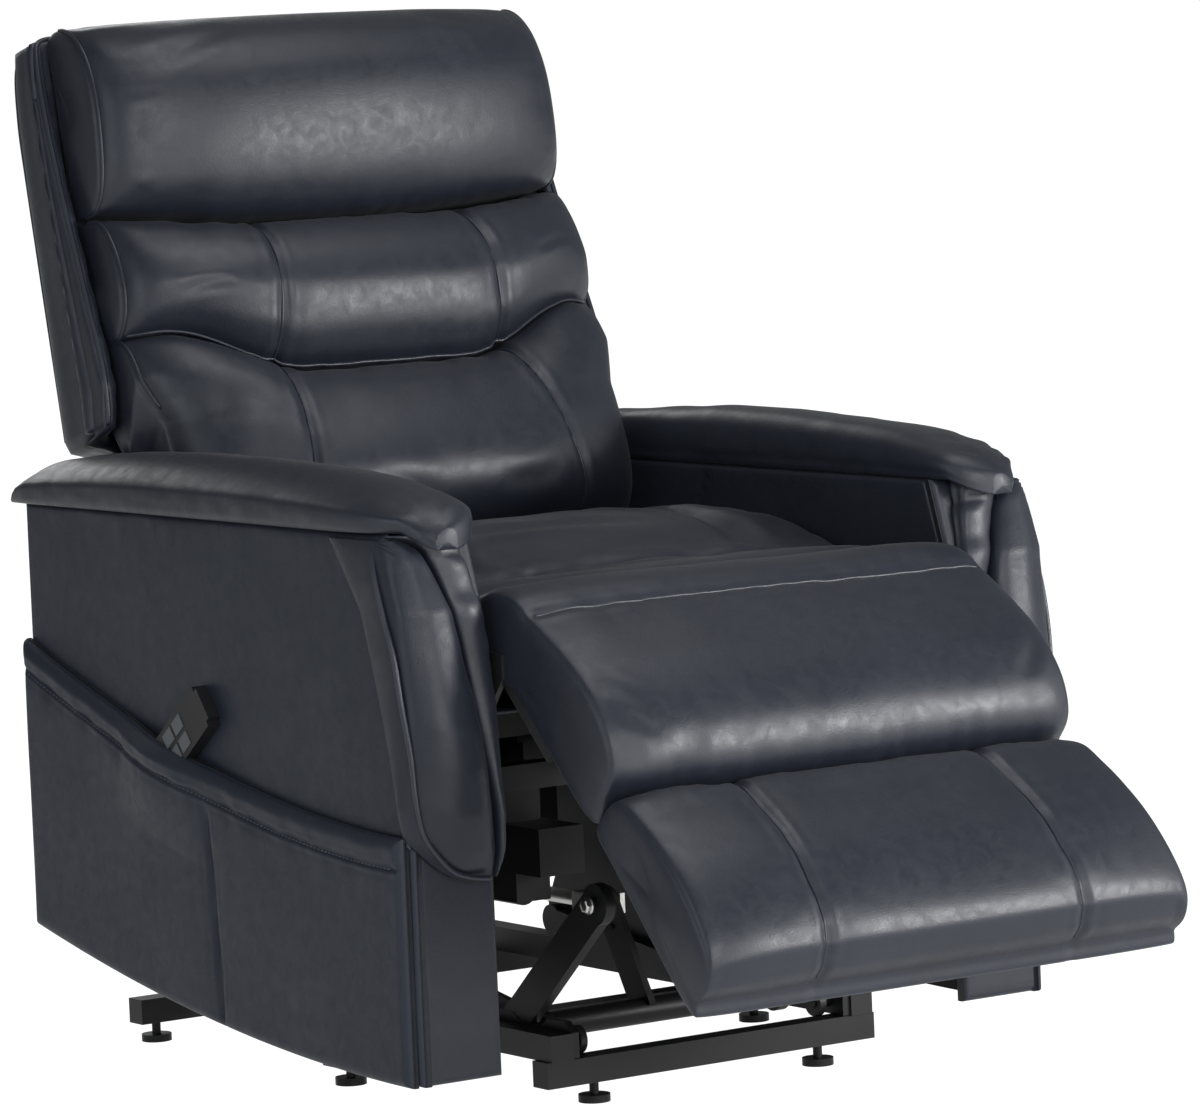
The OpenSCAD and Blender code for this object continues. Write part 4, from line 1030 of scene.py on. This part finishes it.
# valance across the back
skirt = cross_base(-SEAT_HALF, SEAT_HALF, 215, 288, ARM_D - 12, False)
o = slab("rear_skirt", skirt, (0, 1, 0), 12, (600, 73), M_LEATHER, ns=110, nt=40, r=5,
         detail=lambda s, t, P: softness(P[..., 0], P[..., 2], 1.0, 80, 1))
finish_piece(o, "chassis", ["rear_valance"])


# ---- back shell ----
OVER_ARMS = 372.0  # height along the back at which the shell is clear of the arm pads
SHELL_TOP = BACK_L - 3
# heights, and how far the shell's sides stand forward there beside the rolls
RIM = ([368, 376, 420, 609, 780, 826], [0, 46, 58, 27, 4, 0])


def rim_at(w, front=CB + 1):
    return front - float(np.interp(w, *RIM))


def half_at(u):
    """Half width of the shell above the arms; u is 0 over the pads and 1 at its top."""
    return 338 - 12 * u - 9 * u ** 10


def shell_ring(w, h, f, t, k):
    """Outline at height w: half width h, front f, rear drawn in by t, scaled by k."""
    r, b = rim_at(w, f), SHELL_BACK - t
    half = [(h - 18, f), (h - 17, r + 6), (h - 13, r + 1), (h - 8, r), (h - 3, r + 3), (h, r + 10),
            (h, f + 20), (h, b - 30), (h - 4, b - 14), (h - 20, b - 4), (h - 60, b)]
    c = sample(half + [(0, b + 1.5)] + [(-x, p) for x, p in half[::-1]] + [(0, f)], 260, True, per=16)
    centre = np.array([0, (f + b) / 2])
    return centre + (c - centre) * k


def shell():
    """Cover of the back: narrow between the arms, full width above them."""
    low, foot, f, top = SEAT_HALF - 14, 261.0, CB + 27, SHELL_TOP
    plan = [(20, foot, f, 4, 0.96), (22, foot, f, 1, 0.99), (26, foot, f, 0, 1)]
    plan += [(w, foot, f, 0, 1) for w in np.linspace(40, 124, 8)]
    plan += [(128, foot + 2, f, 0, 1), (131, low - 4, f, 0, 1), (134, low, f, 0, 1)]
    plan += [(w, low, f, 0, 1) for w in np.linspace(150, 354, 16)]
    plan += [(358, low + 3, f - 3, 0, 1), (362, 320, CB + 6, 0, 1), (366, 334, CB + 2, 0, 1)]
    plan += [(OVER_ARMS + (top - OVER_ARMS) * u, half_at(u), CB + 1, 3 * u ** 8, 1)
             for u in np.linspace(0.01, 0.985, 74)]
    plan += [(top - 5, 317, CB + 1.5, 4, 0.99), (top - 2.5, 314, CB + 3, 6, 0.97),
             (top - 0.6, 309, CB + 6, 9, 0.93), (top, 302, CB + 10, 14, 0.85)]
    rings = np.array([shell_ring(*row) for row in plan])
    x, p = rings[..., 0], rings[..., 1]
    w = np.repeat(np.array([row[0] for row in plan], float)[:, None], x.shape[1], 1)
    g = np.stack([x, *back_pt(p, w)], -1)
    rear = np.clip((p - 70) / 10, 0, 1)
    d = softness(x + p, w, 1.0, 150, 2) * np.clip((p - 30) / 15, 0, 1)
    d += seam(w - 640, 2.4, 3.4) * rear + gathers(x, w - 640, 1.4, 34, 22, 5) * rear
    return closed_skin("back_cover", g + ring_normals(g) * d[..., None], M_LEATHER)


finish_piece(shell(), "back", ["back_shell"])


def back_welt(name, points, r):
    """Piping on the shell through points (x, p, w)."""
    c = catmull(points, False, 8)
    line = np.stack([c[:, 0], *back_pt(c[:, 1], c[:, 2])], 1)
    finish_piece(tube(name, line, r, M_PIPING), "back")


for side, tag in ((-1, "right"), (1, "left")):
    ws = [378, 400, 440, 520, 600, 680, 750, 806]
    hs = [half_at((w - OVER_ARMS) / (SHELL_TOP - OVER_ARMS)) for w in ws]
    pts = [(side * (h - 5), rim_at(w) + 1.5, w) for w, h in zip(ws, hs)]
    back_welt(f"back_front_piping_{tag}", pts + [(side * 308, CB + 4, 826), (side * 276, CB + 9, 832)], 3.4)
    pts = [(side * (h - 9), SHELL_BACK - 8, w) for w, h in zip(ws[:-1], hs)]
    pts += [(side * 310, SHELL_BACK - 12, 812), (side * 288, SHELL_BACK - 16, 826)]
    back_welt(f"back_rear_piping_{tag}", pts, 3.0)

# ---- hard parts: finish the CAD nodes ----
FINISHES = [
    ("bright_steel", M_BRIGHT, {"lift_drive_rod", "leg_drive_rod", "back_drive_rod", "seat_springs"}),
    ("black_plastic", M_PLASTIC, {"leveling_glides", "lift_drive_motor", "leg_drive_motor",
                                  "back_drive_motor", "power_inlet", "handset_body"}),
    ("grey_key", M_KEY, {"button_lift", "button_lower", "button_recline", "button_upright"}),
    ("board", M_LINING, {"leg_board"}),
    ("board", M_BOARD, {"seat_board_left", "seat_board_right", "seat_front_board", "seat_rear_board",
                        "arm_top_left", "arm_top_right", "back_frame"}),
]
EDGE_BREAK = 0.0012
KEY_EDGE_BREAK = 0.0006


def finish_hard(n, ob):
    """Material and broken edges of a CAD node; what FINISHES doesn't name is black steel."""
    sl, mat = next(((f[0], f[1]) for f in FINISHES if n in f[2]), ("black_steel", M_STEEL))
    ob.data.materials.clear()
    ob.data.materials.append(mat)
    if n != "seat_springs":
        bv = ob.modifiers.new("edge", "BEVEL")
        bv.width = KEY_EDGE_BREAK if sl == "grey_key" else EDGE_BREAK
        bv.segments = 2
        bv.limit_method = "ANGLE"
        bv.angle_limit = math.radians(50)


for n, ob in NODES.items():
    if not ob.hide_render:
        finish_hard(n, ob)


def revolve(name, centre, axis, profile, mat, sides, hexa):
    """Turned part: profile of (height, radius) along an axis; the rows listed in hexa have six flats."""
    ax = np.asarray(axis, float)
    ax /= np.linalg.norm(ax)
    ref = np.array([0, 0, 1.0]) if abs(ax[2]) < 0.9 else np.array([1.0, 0, 0])
    u = np.cross(ref, ax)
    u /= np.linalg.norm(u)
    w = np.cross(ax, u)
    a = np.linspace(0, 2 * math.pi, sides, endpoint=False)
    around = np.cos(a)[:, None] * u + np.sin(a)[:, None] * w
    rows = []
    for i, (h, r) in enumerate(profile):
        rr = np.full(sides, float(r))
        if i in hexa:
            rr = r * math.cos(math.pi / 6) / np.cos((a % (math.pi / 3)) - math.pi / 6)
        rows.append(np.asarray(centre) + h * ax + rr[:, None] * around)
    return closed_skin(name, np.array(rows), mat)


# washer, hexagon head and its rounded top
BOLT = [(0, 9.5), (1.2, 10.5), (2.0, 10.5), (2.2, 7.6), (2.6, 8.6), (7.0, 8.6), (8.2, 7.8), (8.6, 5.0),
        (9.2, 3.0)]
BOLT_FLATS = (3, 4, 5, 6)


def bolt(name, centre, axis, body, scale):
    profile = [(h * scale, r * scale) for h, r in BOLT]
    o = revolve(name, centre, axis, profile, M_BRIGHT, 48, BOLT_FLATS)
    finish_piece(o, body)


for side, tag in ((-1, "right"), (1, "left")):
    bolt(f"stay_bolt_{tag}", (side * 186, 0, 218), (side, 0, 0), "base", 0.9)
    bolt(f"pivot_bolt_{tag}", (side * 180, 168, 66), (side, 0, 0), "base", 0.8)
    bolt(f"arm_bolt_{tag}", (side * 125, 175, 65), (-side, 0, 0), "lift_arm", 0.8)
    bolt(f"link_bolt_{tag}", (side * 164.5, 350, 112), (side, 0, 0), "chassis", 0.7)
    bolt(f"back_hinge_bolt_{tag}", (side * 262, 620, 330), (side, 0, 0), "back", 0.7)

# ---- floor, light and camera ----
def studio_white(name, strength):
    """White to the camera and partly to reflections, plain pale paint to other light."""
    m, t, b = material(name)
    out = t.nodes["Material Output"]
    b.inputs["Base Color"].default_value = (0.82, 0.82, 0.82, 1)
    b.inputs["Roughness"].default_value = 0.9
    lp = node(t, "ShaderNodeLightPath")
    em = node(t, "ShaderNodeEmission")
    em.inputs["Strength"].default_value = strength
    mx = node(t, "ShaderNodeMixShader")
    seen = node(t, "ShaderNodeMath", operation="MULTIPLY")
    seen.inputs[1].default_value = 0.84
    glossy = node(t, "ShaderNodeMath", operation="MULTIPLY_ADD", use_clamp=True)
    glossy.inputs[1].default_value = 0.4
    t.links.new(lp.outputs["Is Camera Ray"], seen.inputs[0])
    t.links.new(lp.outputs["Is Glossy Ray"], glossy.inputs[0])
    t.links.new(seen.outputs[0], glossy.inputs[2])
    t.links.new(glossy.outputs[0], mx.inputs["Fac"])
    t.links.new(b.outputs["BSDF"], mx.inputs[1])
    t.links.new(em.outputs["Emission"], mx.inputs[2])
    t.links.new(mx.outputs["Shader"], out.inputs["Surface"])
    return m


bpy.ops.mesh.primitive_plane_add(size=60, location=(0, 0, 0))
floor = bpy.context.object
floor.name = "studio_floor"
floor.data.materials.append(studio_white("studio_white", 1.28))

world = bpy.data.worlds.new("studio_world")
bpy.context.scene.world = world
world.use_nodes = True
wt = world.node_tree
background = wt.nodes["Background"]
background.inputs["Color"].default_value = (1, 1, 1, 1)
lp = wt.nodes.new("ShaderNodeLightPath")
strength = wt.nodes.new("ShaderNodeMapRange")
strength.inputs["To Min"].default_value = 0.16
strength.inputs["To Max"].default_value = 1.03
wt.links.new(lp.outputs["Is Camera Ray"], strength.inputs["Value"])
wt.links.new(strength.outputs["Result"], background.inputs["Strength"])


def area(name, loc, target, size, power, size_y, colour=(1, 1, 1)):
    """Rectangular softbox at loc, in metres, aimed at target."""
    d = bpy.data.lights.new(name, "AREA")
    d.energy = power
    d.color = colour
    d.size = size
    d.shape = "RECTANGLE"
    d.size_y = size_y
    o = bpy.data.objects.new(name, d)
    bpy.context.scene.collection.objects.link(o)
    o.location = loc
    o.rotation_euler = (Vector(target) - Vector(loc)).to_track_quat("-Z", "Y").to_euler()
    return o


area("key_front", (-1.0, -3.6, 1.7), (0.0, 0.0, 0.6), 2.4, 58, 1.0)
area("key_right", (1.9, -2.75, 0.95), (0.0, 0.1, 0.7), 1.2, 76, 0.5)
area("key_top", (0.2, -0.4, 3.2), (0.0, 0.2, 0.5), 2.0, 26, 1.6)
low = area("low_front", (-0.2, -2.6, 0.22), (0.0, 0.0, 0.62), 2.6, 11, 0.34)
low.visible_camera = False
area("fill_left", (-3.6, -0.6, 1.4), (0.0, 0.2, 0.6), 2.0, 26, 2.0, (0.88, 0.94, 1.0))
area("fill_right", (3.4, -1.4, 1.5), (0.0, 0.1, 0.6), 2.0, 12, 2.0)
area("back_rim", (0.6, 3.6, 2.2), (0.0, 0.3, 0.8), 2.2, 26, 1.6)

# camera solved from the photograph: place in metres, and its turn, tilt and roll
CAMERA_AT = (-3.80445, -5.319162 - Y_MID / 1000, 1.167762)
YAW = math.radians(-34.46)
PITCH = math.radians(5.189)
ROLL = math.radians(-2.376)
look = Vector((-math.sin(YAW) * math.cos(PITCH), math.cos(YAW) * math.cos(PITCH), -math.sin(PITCH)))
right = look.cross(Vector((0, 0, 1))).normalized()
up = right.cross(look).normalized()
r2 = right * math.cos(ROLL) + up * math.sin(ROLL)
u2 = up * math.cos(ROLL) - right * math.sin(ROLL)
cam_data = bpy.data.cameras.new("photo_camera")
cam_data.sensor_width = 36
cam_data.lens = 188.459
cam_data.clip_end = 60
cam = bpy.data.objects.new("photo_camera", cam_data)
bpy.context.scene.collection.objects.link(cam)
x, y, z = CAMERA_AT
cam.matrix_world = Matrix(((r2.x, u2.x, -look.x, x), (r2.y, u2.y, -look.y, y), (r2.z, u2.z, -look.z, z),
                           (0, 0, 0, 1)))
bpy.context.scene.camera = cam
bpy.context.scene.view_settings.view_transform = "Standard"
